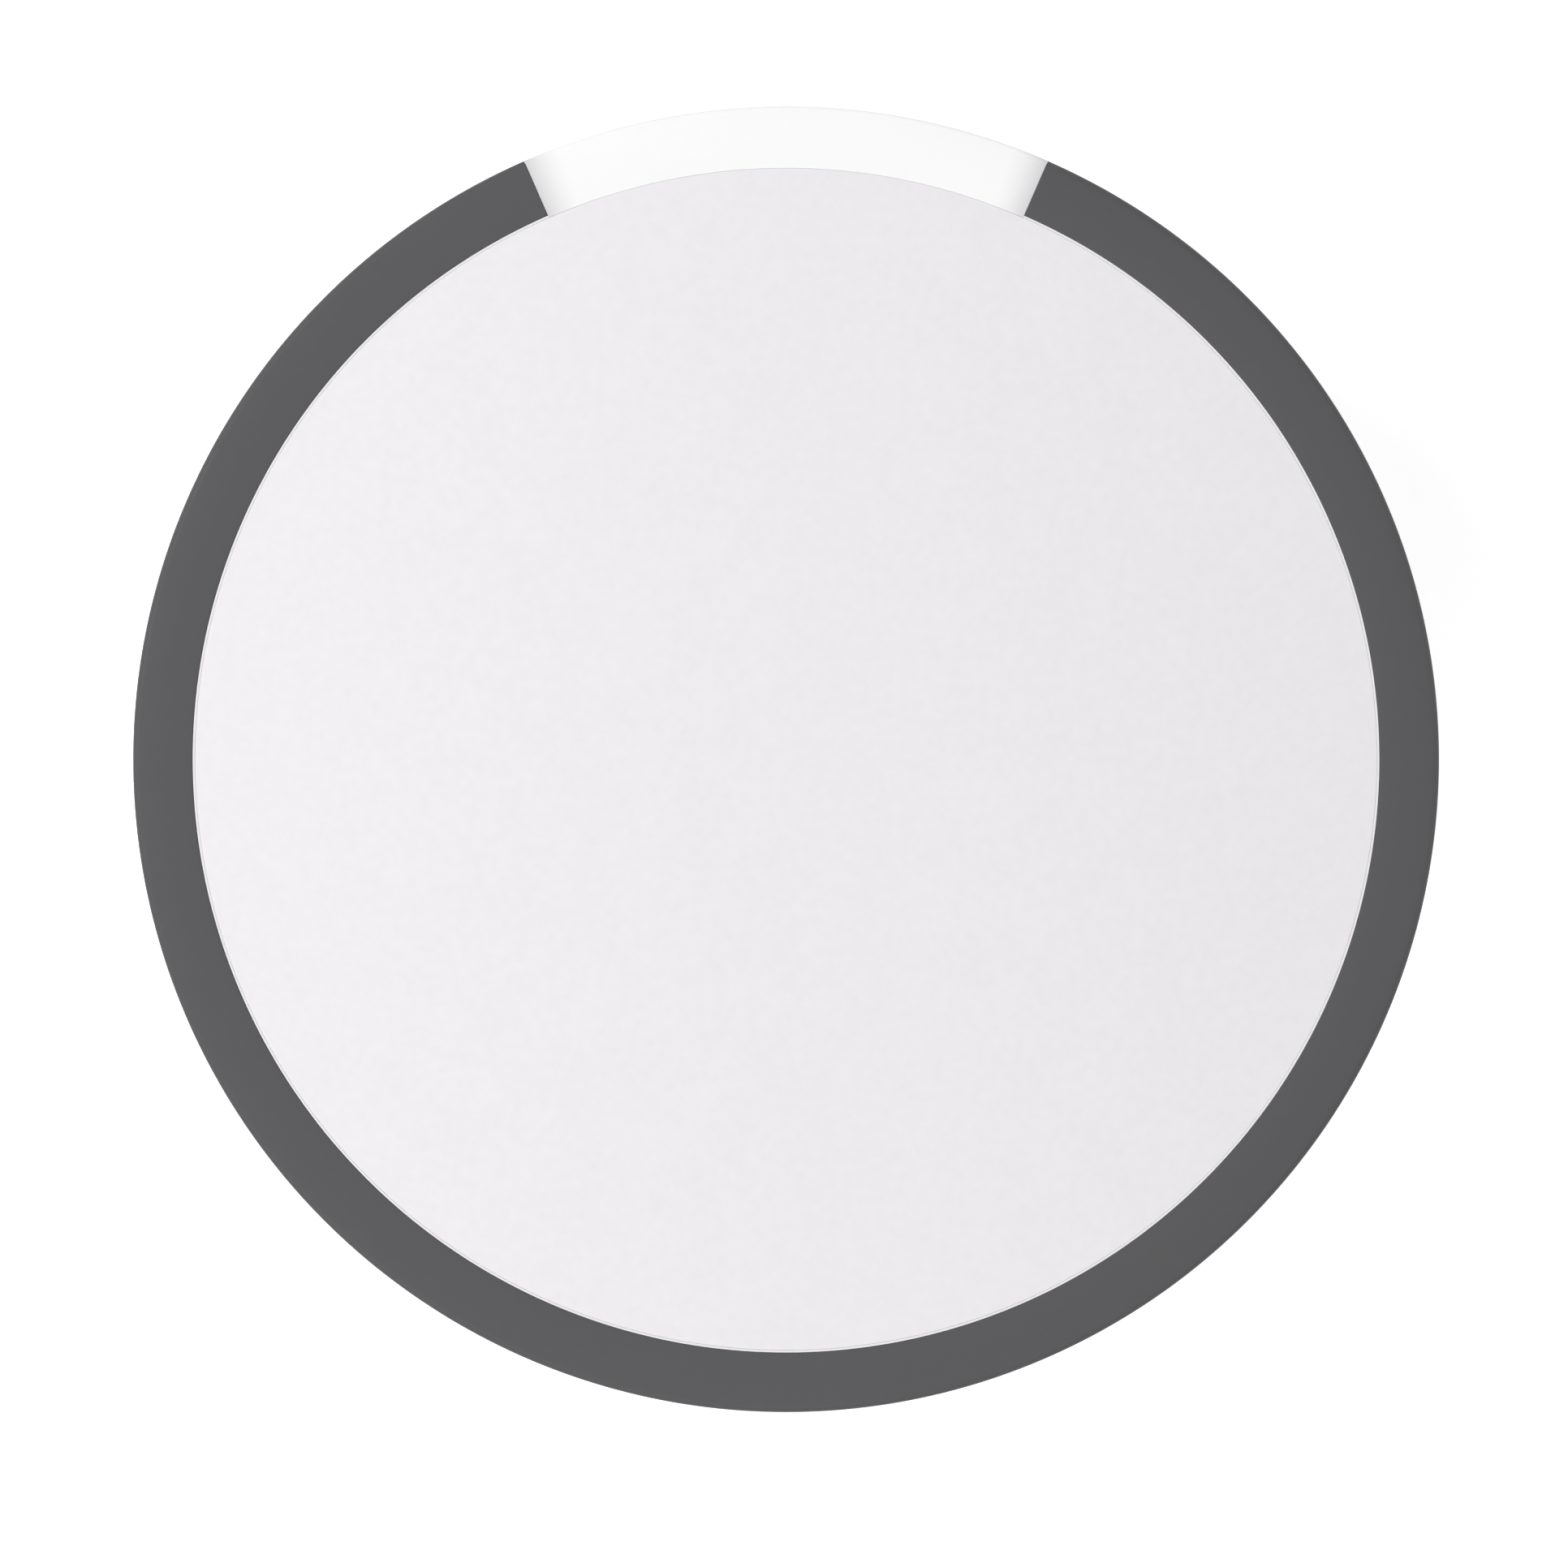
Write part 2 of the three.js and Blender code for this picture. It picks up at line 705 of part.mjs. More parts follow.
// Pinion with its shaft, drawn about its own axis: pivot below, encoder shaft above.
function encoderPinion() {
  const bottom = carrierBottom + runGap;
  const top = gearTop - runGap;
  const pinionRoot = pinionPitch - toothModule - rootClearance;
  const teeth = toothedOutline(pinionTeeth, pinionRoot, pinionPitch + toothModule, -backlash / 2);
  const gear = extruded(teeth, bottom, top);
  const collarRadius = pivotRadius + collarStep;
  const shaft = turned(
    [
      [0, pivotEnd()],
      [pivotRadius * 0.6, pivotEnd()],
      [pivotRadius, pivotEnd() + pivotRadius * 0.4],
      [pivotRadius, footTop() + runGap],
      [collarRadius, footTop() + runGap],
      [collarRadius, bottom + collarStep],
      [shaftRadius, bottom + collarStep],
      [shaftRadius, boardTop + encoderDepth - runGap],
      [0, boardTop + encoderDepth - runGap],
    ],
    smallFacets,
  );
  return gear.add(shaft);
}

function footTop() {
  return carrierBottom - pivotFootGap;
}

function pivotEnd() {
  return footTop() - pivotLength;
}

function relay() {
  const [width, height, tall] = relaySize;
  const top = boardBottom - seatGap;
  const can = roundedBox(width, height, 0.8, top - tall, top - 0.8);
  return can.add(box(width - 1, height - 1, top - 1, top));
}

function radioModule() {
  const [width, height, tall] = radioSize;
  const base = boardTop + runGap;
  const slab = box(width, height, base, base + radioBase);
  const shield = roundedBox(width - 1, height - 2.5, 0.5, base, base + radioBase + tall, 0, 0.6);
  return slab.add(shield);
}

function sensorBoard() {
  const [width, thick, tall] = sensorSize;
  const top = boardBottom - seatGap;
  const slab = box(width, thick, top - tall, top);
  const bead = cylinder(sensorBead, top - tall - sensorTip, top - tall + 2 * sensorBead);
  return slab.add(bead);
}

function pinHeader() {
  const top = boardBottom - seatGap;
  const bodyWidth = terminalCount * terminalPitch;
  const body = box(bodyWidth, headerWidth, top - headerHeight, top);
  const pins = terminalXs.map((x) => box(pinWidth, pinWidth, blockEnd - pinEngagement, top, x));
  return joined([body, ...pins]);
}

// Outline of the housing's curved side, as a radius at a height.
function sideRadius(z) {
  const share = (z - skirtStart) / (rimTop - skirtStart);
  return skirtRadius + (rimRadius - skirtRadius) * Math.sin((share * Math.PI) / 2);
}

function housingShell() {
  const foot = 0.5;
  const sides = [0.45, 1].map((share) => skirtStart + foot + share * (rimTop - skirtStart - foot));
  const inner = (z) => [sideRadius(z) - housingWall, z];
  return turned([
    [0, floorStart],
    inner(floorStart),
    inner(skirtStart),
    [skirtRadius - foot, skirtStart],
    [skirtRadius, skirtStart + foot],
    ...sides.map((z) => [sideRadius(z), z]),
    inner(rimTop),
    inner(floorEnd),
    [0, floorEnd],
  ]);
}

// One cell's vault: a box up to the cell's axis with a half cylinder over it.
function vault(radius, length, from, y) {
  const lower = box(length, 2 * radius, from, cellHeight, 0, y);
  const round = new THREE.CylinderGeometry(radius, radius, length, 2 * smallFacets).rotateZ(Math.PI / 2);
  return lower.add(solid(round.translate(0, y, cellHeight)));
}

function cellRows() {
  return [bayCentre - cellPitch / 2, bayCentre + cellPitch / 2];
}

function housingBossTop() {
  return carrierBottom - seatGap;
}

function rearHousing() {
  const adds = [housingShell()];
  const cuts = [];
  for (const y of cellRows()) {
    adds.push(vault(cellRoom + bayWall, bayLength + 2 * bayWall, floorStart + 0.5, y));
    cuts.push(vault(cellRoom, bayLength, skirtStart, y));
  }
  cuts.push(...tabSlots(cellHeight, boardBottom));
  const bridgeRoom = [contactThickness + 2 * runGap, cellPitch + contactWidth + 2 * runGap];
  const bridgeTop = cellHeight + contactWidth / 2 + seatGap;
  cuts.push(box(...bridgeRoom, skirtStart, bridgeTop, (bridgeRoom[0] - bayLength) / 2, bayCentre));
  const [pocketWidth, pocketHeight] = [blockWidth + 2 * pocketGap, blockDepth + 2 * pocketGap];
  const blockMiddle = (blockTop + blockBottom) / 2;
  adds.push(
    box(
      pocketWidth + 2 * pocketWall,
      pocketHeight + 2 * pocketWall,
      floorStart,
      pocketTop + pocketWall,
      0,
      blockMiddle,
    ),
  );
  cuts.push(box(pocketWidth, pocketHeight, skirtStart, pocketTop, 0, blockMiddle));
  const slotWidth = (terminalCount - 1) * terminalPitch + pinWidth + 2 * seatGap;
  cuts.push(box(slotWidth, pinWidth + 2 * seatGap, skirtStart, boardBottom, 0, pinRowY));
  for (const angle of housingScrewAngles) {
    const place = onCircle(housingScrewCircle, angle);
    const well = housingScrew.head + screwPlay;
    adds.push(cylinder(well + wellWall, floorStart, housingBossTop(), place));
    cuts.push(cylinder(well, skirtStart, screwSeat(), place));
    cuts.push(cylinder(housingScrew.shank + screwPlay, skirtStart, boardBottom, place));
  }
  for (const place of boardScrewPlaces) {
    adds.push(cylinder(boardScrew.shank + screwPlay + bossWall, floorStart, bayTop, place));
    cuts.push(cylinder(boardScrew.shank + screwPlay, boardScrewEnd() - 1, boardBottom, place));
  }
  for (const angle of postAngles) {
    const place = onCircle(postCircle, angle);
    const socket = postRadius + seatGap;
    adds.push(cylinder(socket + socketWall, floorStart, postTop() + seatGap + socketWall, place));
    cuts.push(cylinder(socket, skirtStart, postTop() + seatGap, place));
  }
  adds.push(cylinder(pivotRadius + runGap + bossWall, floorStart, footTop(), pinionPlace));
  cuts.push(cylinder(pivotRadius + runGap, pivotEnd() - runGap, boardBottom, pinionPlace));
  const stopOuter = gearTip - stopGap;
  const stopAngle = Math.PI - turnHalfRange - lugHalfAngle - stopHalfAngle - runGap / 2 / stopOuter;
  for (const angle of [Math.PI - stopAngle, Math.PI + stopAngle]) {
    adds.push(sector(stopOuter - stopThickness, stopOuter, stopHalfAngle, angle, floorStart, gearTop));
    const gussetOuter = rimRadius - housingWall / 2;
    adds.push(sector(stopOuter - 0.5, gussetOuter, stopHalfAngle, angle, floorStart, rimTop - 1));
  }
  const ventBottom = floorEnd + ventMargin;
  const ventInner = skirtRadius - 2 * housingWall;
  const ventMiddle = (ventInner + outerRadius) / 2;
  const vent = box(outerRadius - ventInner, ventWidth, ventBottom, rimTop - ventMargin, ventMiddle);
  for (const side of [Math.PI / 2, -Math.PI / 2]) {
    for (const angle of ventAngles) cuts.push(swung(vent, side + angle));
  }
  return joined(adds).subtract(joined(cuts));
}

function screwSeat() {
  return floorEnd + wellFloor;
}

function boardScrewEnd() {
  return boardTop + runGap - boardScrew.length;
}

function postTop() {
  return floorStart + postReach;
}

function stadium(width, length) {
  const half = (length - width) / 2;
  const shape = new THREE.Shape();
  shape.absarc(half, 0, width / 2, -Math.PI / 2, Math.PI / 2);
  shape.absarc(-half, 0, width / 2, Math.PI / 2, 1.5 * Math.PI);
  return shape;
}

// A split snap post for the housing's sockets, standing on the wall plate.
function snapPost() {
  const top = postTop();
  const post = turned(
    [
      [0, plateThickness / 2],
      [postRadius, plateThickness / 2],
      [postRadius, top - postTip],
      [postRadius * 0.7, top],
      [0, top],
    ],
    smallFacets,
  );
  return post.subtract(box(4 * postRadius, postSlit, plateThickness + postFoot, top + 1));
}

function wallPlate() {
  const rimInner = plateRadius - plateRim;
  const plate = turned([
    [0, 0],
    [plateRadius, 0],
    [plateRadius, plateThickness + rimHeight],
    [rimInner, plateThickness + rimHeight],
    [rimInner, plateThickness],
    [0, plateThickness],
  ]);
  const [windowX, windowY] = cableWindow;
  const windowMiddle = cableWindowTop - windowY / 2;
  const lipTop = plateThickness + lipHeight;
  const lip = roundedBox(
    windowX + 2 * windowLip,
    windowY + 2 * windowLip,
    3,
    plateThickness / 2,
    lipTop,
    0,
    windowMiddle,
  );
  const window = roundedBox(windowX, windowY, 2, -1, lipTop + 1, 0, windowMiddle);
  const posts = postAngles.map((a) => swung(snapPost().translate([postCircle, 0, 0]), a));
  const ribLength = wallScrewSpacing - wallScrewSlot[1] - 2 * wallScrewRecess;
  const rib = box(ribLength, windowLip, plateThickness / 2, lipTop);
  const ribs = [-1, 1].map((side) => rib.translate([0, bayCentre + side * cellPitch, 0]));
  const cuts = [window];
  const [slotWidth, slotLength] = wallScrewSlot;
  const recess = stadium(slotWidth + 2 * wallScrewRecess, slotLength + 2 * wallScrewRecess);
  for (const [side, turn] of [
    [-1, 90],
    [1, 0],
  ]) {
    const slot = extruded(stadium(slotWidth, slotLength), -1, plateThickness + 1, 6);
    const dish = extruded(recess, plateThickness - recessDepth, plateThickness + 0.5, 6);
    cuts.push(slot.add(dish).rotate([0, 0, turn]).translate([(side * wallScrewSpacing) / 2, 0, 0]));
  }
  for (const place of pegPlaces()) cuts.push(cylinder(pegRadius + runGap, -1, plateThickness + 1, place));
  return joined([plate, lip, ...posts, ...ribs]).subtract(joined(cuts));
}

function pegPlaces() {
  return [-1, 1].map((side) => [side * terminalPitch * 1.5, (blockTop + blockBottom) / 2]);
}

function terminalBlock() {
  const middle = (blockTop + blockBottom) / 2;
  const body = box(blockWidth, blockDepth, blockBase, blockEnd, 0, middle);
  const pegs = pegPlaces().map((place) => cylinder(pegRadius, runGap * 2, blockBase + 0.5, place));
  const cuts = [];
  for (const x of terminalXs) {
    const screwPlace = [x, terminalScrewY];
    cuts.push(cylinder(terminalScrew.head + screwPlay, terminalSeat() - runGap, blockEnd + 1, screwPlace));
    const shankRoom = terminalScrew.shank + screwPlay;
    cuts.push(cylinder(shankRoom, blockBase + wireHoleHeight, blockEnd, screwPlace, screwFacets));
    const pinRoom = pinWidth + 2 * runGap;
    cuts.push(box(pinRoom, pinRoom, blockEnd - pinEngagement - 1, blockEnd + 1, x, pinRowY));
    const hole = new THREE.CylinderGeometry(wireHoleRadius, wireHoleRadius, 2 * wireHoleDepth, screwFacets);
    cuts.push(solid(hole.translate(x, blockTop, blockBase + wireHoleHeight)));
  }
  return joined([body, ...pegs]).subtract(joined(cuts));
}

function terminalSeat() {
  return blockEnd - terminalScrew.headHeight - terminalScrewSink;
}

// An AAA cell along +z, centred on its length, with its positive end up.
function cell() {
  const half = cellLength / 2;
  const shoulder = half - nubLength;
  return turned(
    [
      [0, -half],
      [cellRadius - 0.5, -half],
      [cellRadius, 0.4 - half],
      [cellRadius, shoulder - 0.4],
      [cellRadius - 0.5, shoulder],
      [nubRadius, shoulder],
      [nubRadius, half],
      [0, half],
    ],
    2 * smallFacets,
  );
}

// Cell centres lie off the middle, because the springs take up the rest of the bay.
function cellShift() {
  return bayLength / 2 - contactThickness - 2 * runGap - cellLength / 2;
}

function springRoom() {
  return bayLength / 2 - contactThickness - runGap + cellShift() - cellLength / 2 - runGap;
}

// A contact plate at the +x end of the bay, with its face on x = 0, for the rows given.
function contactPlate(rows) {
  const height = rows.length > 1 ? cellPitch + contactWidth : contactWidth;
  const plate = new THREE.BoxGeometry(contactThickness, height, contactWidth);
  return solid(plate.translate(contactThickness / 2, 0, 0));
}

function contactCoil() {
  const height = springRoom() - runGap;
  const spring = coil(coilRadius, coilWire, height + coilWire, coilTurns);
  return spring.translate([0, 0, -coilWire]).rotate([0, -90, 0]);
}

// A tab that runs from a contact plate up through the bay and the board.
function contactTab() {
  return box(contactThickness, tabWidth, 0, boardTop + tabReach - cellHeight, contactThickness / 2);
}

function contactPlus() {
  return contactPlate([0]).add(contactTab());
}

function contactMinus() {
  return contactPlus().add(contactCoil());
}

function contactBridge() {
  const spring = contactCoil().translate([0, cellPitch / 2, 0]);
  return contactPlate([0, 1]).add(spring);
}

function cellPiece(name, direction, y) {
  const mesh = piece(name, cell(), "cellSleeve");
  mesh.rotation.y = (direction * Math.PI) / 2;
  return placed(mesh, [direction * cellShift(), y], cellHeight);
}

function contactX() {
  return bayLength / 2 - contactThickness - runGap;
}

// Slots for the tabs, through the bay's roof or through the board.
function tabSlots(from, to) {
  const [thick, wide] = [contactThickness + 2 * runGap, tabWidth + 2 * runGap];
  const x = contactX() + contactThickness / 2;
  return cellRows().map((y) => box(thick, wide, from, to, x, y));
}

function contactPiece(name, part, direction, y) {
  const mesh = piece(name, part, "steel");
  if (direction < 0) mesh.rotation.z = Math.PI;
  return placed(mesh, [direction * contactX(), y], cellHeight);
}

function group(...meshes) {
  return new THREE.Group().add(...meshes);
}

function numbered(name, places, make) {
  return places.map((place, i) => make(`${name}_${i + 1}`, place));
}

const [lowerRow, upperRow] = cellRows();

const wallSide = group(
  piece("wall_plate", wallPlate(), "shellWhite"),
  piece("terminal_block", terminalBlock(), "terminalGreen"),
  ...numbered("terminal_screw", terminalXs, (name, x) =>
    placed(piece(name, screw(terminalScrew), "steel"), [x, terminalScrewY], terminalSeat()),
  ),
);

const shell = group(
  piece("rear_housing", rearHousing(), "shellWhite"),
  piece("mid_frame", midFrame(), "innerBlack"),
  piece("light_guide", lightGuide(), "clear"),
  piece("glide_ring", glideRing(), "acetal"),
  ...numbered("housing_screw", housingScrewAngles, (name, angle) => {
    const mesh = piece(name, screw(housingScrew), "steel");
    mesh.rotation.x = Math.PI;
    return placed(mesh, onCircle(housingScrewCircle, angle), screwSeat() - runGap);
  }),
  ...numbered("face_spring", guidePinAngles, (name, angle) =>
    placed(piece(name, faceSpring(), "steel"), onCircle(guidePinCircle, angle), springSeat() + runGap),
  ),
);

const electronics = group(
  piece("main_board", mainBoard(), "boardGreen"),
  ...numbered("board_screw", boardScrewPlaces, (name, place) =>
    placed(piece(name, screw(boardScrew), "steel"), place, boardTop + runGap),
  ),
  piece("display_module", displayModule(), "displayGlass"),
  piece("display_bezel", displayBezel(), "innerBlack"),
  placed(piece("switch_body", switchBody(), "innerBlack"), [0, -buttonOffset], 0),
  placed(piece("encoder_body", encoderBody(), "innerBlack"), pinionPlace, 0),
  placed(piece("radio_module", radioModule(), "steel"), radioCentre, 0),
  placed(piece("relay", relay(), "relayBlue"), relayCentre, 0),
  placed(piece("pin_header", pinHeader(), "innerBlack"), [0, pinRowY], 0),
  placed(piece("sensor_board", sensorBoard(), "boardGreen"), [0, sensorY], 0),
);

const power = group(
  cellPiece("battery_lower", 1, lowerRow),
  cellPiece("battery_upper", -1, upperRow),
  contactPiece("contact_plus", contactPlus(), 1, lowerRow),
  contactPiece("contact_minus", contactMinus(), 1, upperRow),
  contactPiece("contact_bridge", contactBridge(), -1, bayCentre),
);

const dial = group(
  piece("dial_carrier", dialCarrier(), "opal"),
  piece("grip_ring", gripRing(), "gripGrey"),
);

const pinion = placed(piece("encoder_pinion", encoderPinion(), "acetal"), pinionPlace, 0);

const plungerLift = plungerTop() - plungerLength;
const button = group(
  piece("front_cover", frontCover(), "faceWhite"),
  piece("switch_plunger", cylinder(plungerRadius, plungerLift, plungerTop(), [0, -buttonOffset]), "acetal"),
);

const thermostat = group(wallSide, shell, electronics, power, dial, pinion, button);
thermostat.rotation.x = Math.PI / 2;

export default thermostat;
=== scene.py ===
import math
import bmesh
import bpy
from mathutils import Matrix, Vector


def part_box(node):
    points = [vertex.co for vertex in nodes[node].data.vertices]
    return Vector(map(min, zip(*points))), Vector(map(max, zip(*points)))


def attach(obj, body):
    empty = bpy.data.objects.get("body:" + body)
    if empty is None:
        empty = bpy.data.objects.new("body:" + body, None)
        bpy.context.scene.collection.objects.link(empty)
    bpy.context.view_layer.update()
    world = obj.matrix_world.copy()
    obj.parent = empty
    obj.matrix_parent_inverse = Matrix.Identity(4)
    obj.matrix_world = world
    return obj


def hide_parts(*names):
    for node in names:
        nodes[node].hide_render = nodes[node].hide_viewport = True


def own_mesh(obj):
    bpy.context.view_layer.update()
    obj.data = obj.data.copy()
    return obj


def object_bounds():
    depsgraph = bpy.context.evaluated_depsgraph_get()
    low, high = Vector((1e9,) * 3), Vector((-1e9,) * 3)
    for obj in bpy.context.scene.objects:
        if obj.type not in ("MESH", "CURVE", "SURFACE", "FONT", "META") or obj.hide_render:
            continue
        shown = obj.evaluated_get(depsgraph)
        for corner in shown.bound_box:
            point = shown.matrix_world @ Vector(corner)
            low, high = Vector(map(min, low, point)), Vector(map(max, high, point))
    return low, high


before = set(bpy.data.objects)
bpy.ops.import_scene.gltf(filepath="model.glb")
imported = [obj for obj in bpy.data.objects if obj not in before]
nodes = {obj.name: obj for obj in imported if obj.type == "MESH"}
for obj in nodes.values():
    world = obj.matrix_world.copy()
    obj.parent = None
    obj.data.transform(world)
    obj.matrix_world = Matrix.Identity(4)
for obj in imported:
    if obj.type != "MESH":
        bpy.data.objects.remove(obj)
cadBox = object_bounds()
mm = 0.001


def pick(sizes, *keys):
    return [sizes[key] for key in keys]


# Shapes are given in millimetres: x to the right, y up, and height out of the wall.
def place(x, y, height):
    return Vector((x * mm, -height * mm, y * mm))


def polar(radius, degrees):
    angle = math.radians(degrees)
    return radius * math.cos(angle), radius * math.sin(angle)


def turned(outline, degrees, x=0, y=0):
    c, s = polar(1, degrees)
    return [(x + c * u - s * v, y + s * u + c * v) for u, v in outline]


def at(x, y):
    # axis parallel to the front axis, through x, y
    return lambda u, v, height: place(x + u, y + v, height)


def boxOf(node):
    # centre x, centre y, back height and front height
    low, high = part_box(node)
    return (low.x + high.x) / 2 / mm, (low.z + high.z) / 2 / mm, -high.y / mm, -low.y / mm


def addObject(name, data):
    made = bpy.data.objects.new(name, data)
    bpy.context.scene.collection.objects.link(made)
    return made


def closedMesh(name, points, faces, weld=1e-7):
    mesh = bpy.data.meshes.new(name)
    mesh.from_pydata(points, [], faces)
    work = bmesh.new()
    work.from_mesh(mesh)
    bmesh.ops.remove_doubles(work, verts=work.verts, dist=weld)
    bmesh.ops.recalc_face_normals(work, faces=work.faces)
    work.to_mesh(mesh)
    work.free()
    return addObject(name, mesh)


def rounded(corners, steps=5):
    # corners are (radius, height) or (radius, height, fillet)
    points = []
    for i, corner in enumerate(corners):
        here = Vector(corner[:2])
        if len(corner) < 3:
            points.append(tuple(here))
            continue
        before = (Vector(corners[i - 1][:2]) - here).normalized()
        after = (Vector(corners[(i + 1) % len(corners)][:2]) - here).normalized()
        half = before.angle(after) / 2
        centre = here + (before + after).normalized() * corner[2] / math.sin(half)
        start = here + before * corner[2] / math.tan(half) - centre
        end = here + after * corner[2] / math.tan(half) - centre
        turn = -start.angle_signed(end)
        for k in range(steps + 1):
            c, s = math.cos(turn * k / steps), math.sin(turn * k / steps)
            points.append((centre.x + c * start.x - s * start.y, centre.y + s * start.x + c * start.y))
    return points


def revolved(name, corners, segments, put=place):
    profile = rounded(corners)
    points, faces, count = [], [], len(profile)
    for i in range(segments):
        for radius, height in profile:
            points.append(put(*polar(radius, 360 * i / segments), height))
    for i in range(segments):
        a, b = i * count, (i + 1) % segments * count
        for j in range(count):
            k = (j + 1) % count
            if profile[j][0] or profile[k][0]:
                faces.append((a + j, a + k, b + k, b + j))
    return closedMesh(name, points, faces)


def prism(name, outline, low, high, put=place, taper=1):
    count = len(outline)
    points = [put(x, y, low) for x, y in outline]
    points += [put(x * taper, y * taper, high) for x, y in outline]
    sides = [(i, (i + 1) % count, (i + 1) % count + count, i + count) for i in range(count)]
    return closedMesh(name, points, [tuple(range(count)), tuple(range(count, 2 * count)), *sides])


def rod(name, radius, low, high, x, y, segments=48):
    return revolved(name, [(0, low), (radius, low), (radius, high), (0, high)], segments, at(x, y))


def spots(sizes, kind):
    return [polar(sizes[kind + "Circle"], angle) for angle in sizes[kind + "Angles"]]


def sector(inner, outer, middle, halfAngle, steps=48):
    angles = [middle - halfAngle + 2 * halfAngle * i / steps for i in range(steps + 1)]
    return [polar(outer, a) for a in angles] + [polar(inner, a) for a in reversed(angles)]


def slab(width, height, corner=0.0, x=0, y=0, steps=6):
    signs = ((1, 1), (-1, 1), (-1, -1), (1, -1))
    if not corner:
        return [(x + sx * width / 2, y + sy * height / 2) for sx, sy in signs]
    outline = []
    for quarter, (sx, sy) in enumerate(signs):
        for i in range(steps + 1):
            dx, dy = polar(corner, 90 * (quarter + i / steps))
            outline.append((x + sx * (width / 2 - corner) + dx, y + sy * (height / 2 - corner) + dy))
    return outline


def baked(piece):
    graph = bpy.context.evaluated_depsgraph_get()
    mesh = bpy.data.meshes.new_from_object(piece.evaluated_get(graph))
    piece.modifiers.clear()
    piece.data = mesh
    return piece


def combined(piece, tools, operation):
    for tool in tools:
        step = piece.modifiers.new(operation, "BOOLEAN")
        step.operation = operation
        step.solver = "MANIFOLD"
        step.object = tool
    baked(piece)
    for tool in tools:
        bpy.data.objects.remove(tool)
    return piece


def fused(piece, tools):
    return combined(piece, tools, "UNION")


def carved(piece, tools):
    return combined(piece, tools, "DIFFERENCE")


def smoothed(piece, limit=28, sliver=5e-7):
    # slivers collapse, and faces shade smooth but for edges sharper than the limit
    work = bmesh.new()
    work.from_mesh(piece.data)
    bmesh.ops.dissolve_degenerate(work, dist=sliver, edges=work.edges)
    for face in work.faces:
        face.smooth = True
    for edge in work.edges:
        edge.smooth = len(edge.link_faces) == 2 and edge.calc_face_angle() < math.radians(limit)
    work.to_mesh(piece.data)
    work.free()


def wears(piece, *materials):
    piece.data.materials.clear()
    for material in materials:
        piece.data.materials.append(material)


def finished(piece, finish, body, slot, *replaced):
    smoothed(piece)
    wears(piece, finishes[finish])
    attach(piece, body)
    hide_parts(*replaced)
    return piece


# Node helpers: an input takes a value, or a link where it is given a socket
def fill(tree, node, inputs):
    for key, value in inputs.items():
        socket = node.inputs[key]
        if isinstance(value, bpy.types.NodeSocket):
            tree.links.new(value, socket)
        elif socket.type == "RGBA":
            socket.default_value = (*value, 1)
        else:
            socket.default_value = value
    return node


def addNode(tree, kind, inputs=None):
    return fill(tree, tree.nodes.new(kind), inputs or {}).outputs


def mathNode(tree, operation, *values, clamp=False):
    node = tree.nodes.new("ShaderNodeMath")
    node.operation, node.use_clamp = operation, clamp
    return fill(tree, node, dict(enumerate(values))).outputs[0]


def times(tree, first, second, clamp=False):
    return mathNode(tree, "MULTIPLY", first, second, clamp=clamp)


def mixColour(tree, factor, first, second):
    node = tree.nodes.new("ShaderNodeMix")
    node.data_type = "RGBA"
    # sockets 6 and 7 are the two colours, and output 2 is their mix
    return fill(tree, node, {0: factor, 6: first, 7: second}).outputs[2]


def ramped(tree, value, low, high, bottom=0.0, top=1.0, smooth=True):
    node = tree.nodes.new("ShaderNodeMapRange")
    node.interpolation_type = "SMOOTHSTEP" if smooth else "LINEAR"
    return fill(tree, node, dict(enumerate((value, low, high, bottom, top)))).outputs[0]


def objectSpace(tree):
    # the place in the piece's own space, in metres
    return addNode(tree, "ShaderNodeTexCoord")["Object"]


def objectPlace(tree):
    return addNode(tree, "ShaderNodeSeparateXYZ", {0: objectSpace(tree)})


def noise(tree, where, scale, detail=2.0):
    return addNode(tree, "ShaderNodeTexNoise", {"Vector": where, "Scale": scale, "Detail": detail})["Fac"]


def makeSmoother(limit=30, gap=1e-6):
    # joins the split corners of a node and shades it smooth up to the limit
    group = bpy.data.node_groups.new("smoothNode", "GeometryNodeTree")
    group.is_modifier = True
    for way in ("INPUT", "OUTPUT"):
        group.interface.new_socket("Geometry", in_out=way, socket_type="NodeSocketGeometry")
    shape = addNode(group, "NodeGroupInput")[0]
    shape = addNode(group, "GeometryNodeMergeByDistance", {"Geometry": shape, "Distance": gap})[0]
    shape = addNode(group, "GeometryNodeRemoveAttribute", {"Geometry": shape, "Name": "custom_normal"})[0]
    shape = addNode(group, "GeometryNodeSetShadeSmooth", {"Geometry": shape})[0]
    angle = addNode(group, "GeometryNodeInputMeshEdgeAngle")["Unsigned Angle"]
    above = mathNode(group, "GREATER_THAN", angle, math.radians(limit))
    sharp = group.nodes.new("GeometryNodeSetShadeSmooth")
    sharp.domain = "EDGE"
    fill(group, sharp, {"Geometry": shape, "Selection": above, "Shade Smooth": False})
    addNode(group, "NodeGroupOutput", {0: sharp.outputs[0]})
    return group


# Shader groups shared by the finishes
mouldTexture = dict(Pitch=4000.0, Mottle=300.0)
mouldNoise = dict(fineDetail=3.0, slowDetail=4.0, speckDetail=1.5, speckPitch=0.28, speckShare=0.66)
edgeRounding = dict(Strength=6.0, Radius=0.00015)
bevelSamples = 6
drawing = dict(stretch=(0.12, 3.0, 3.0), oxidePitch=420.0, oxideDetail=5.0)


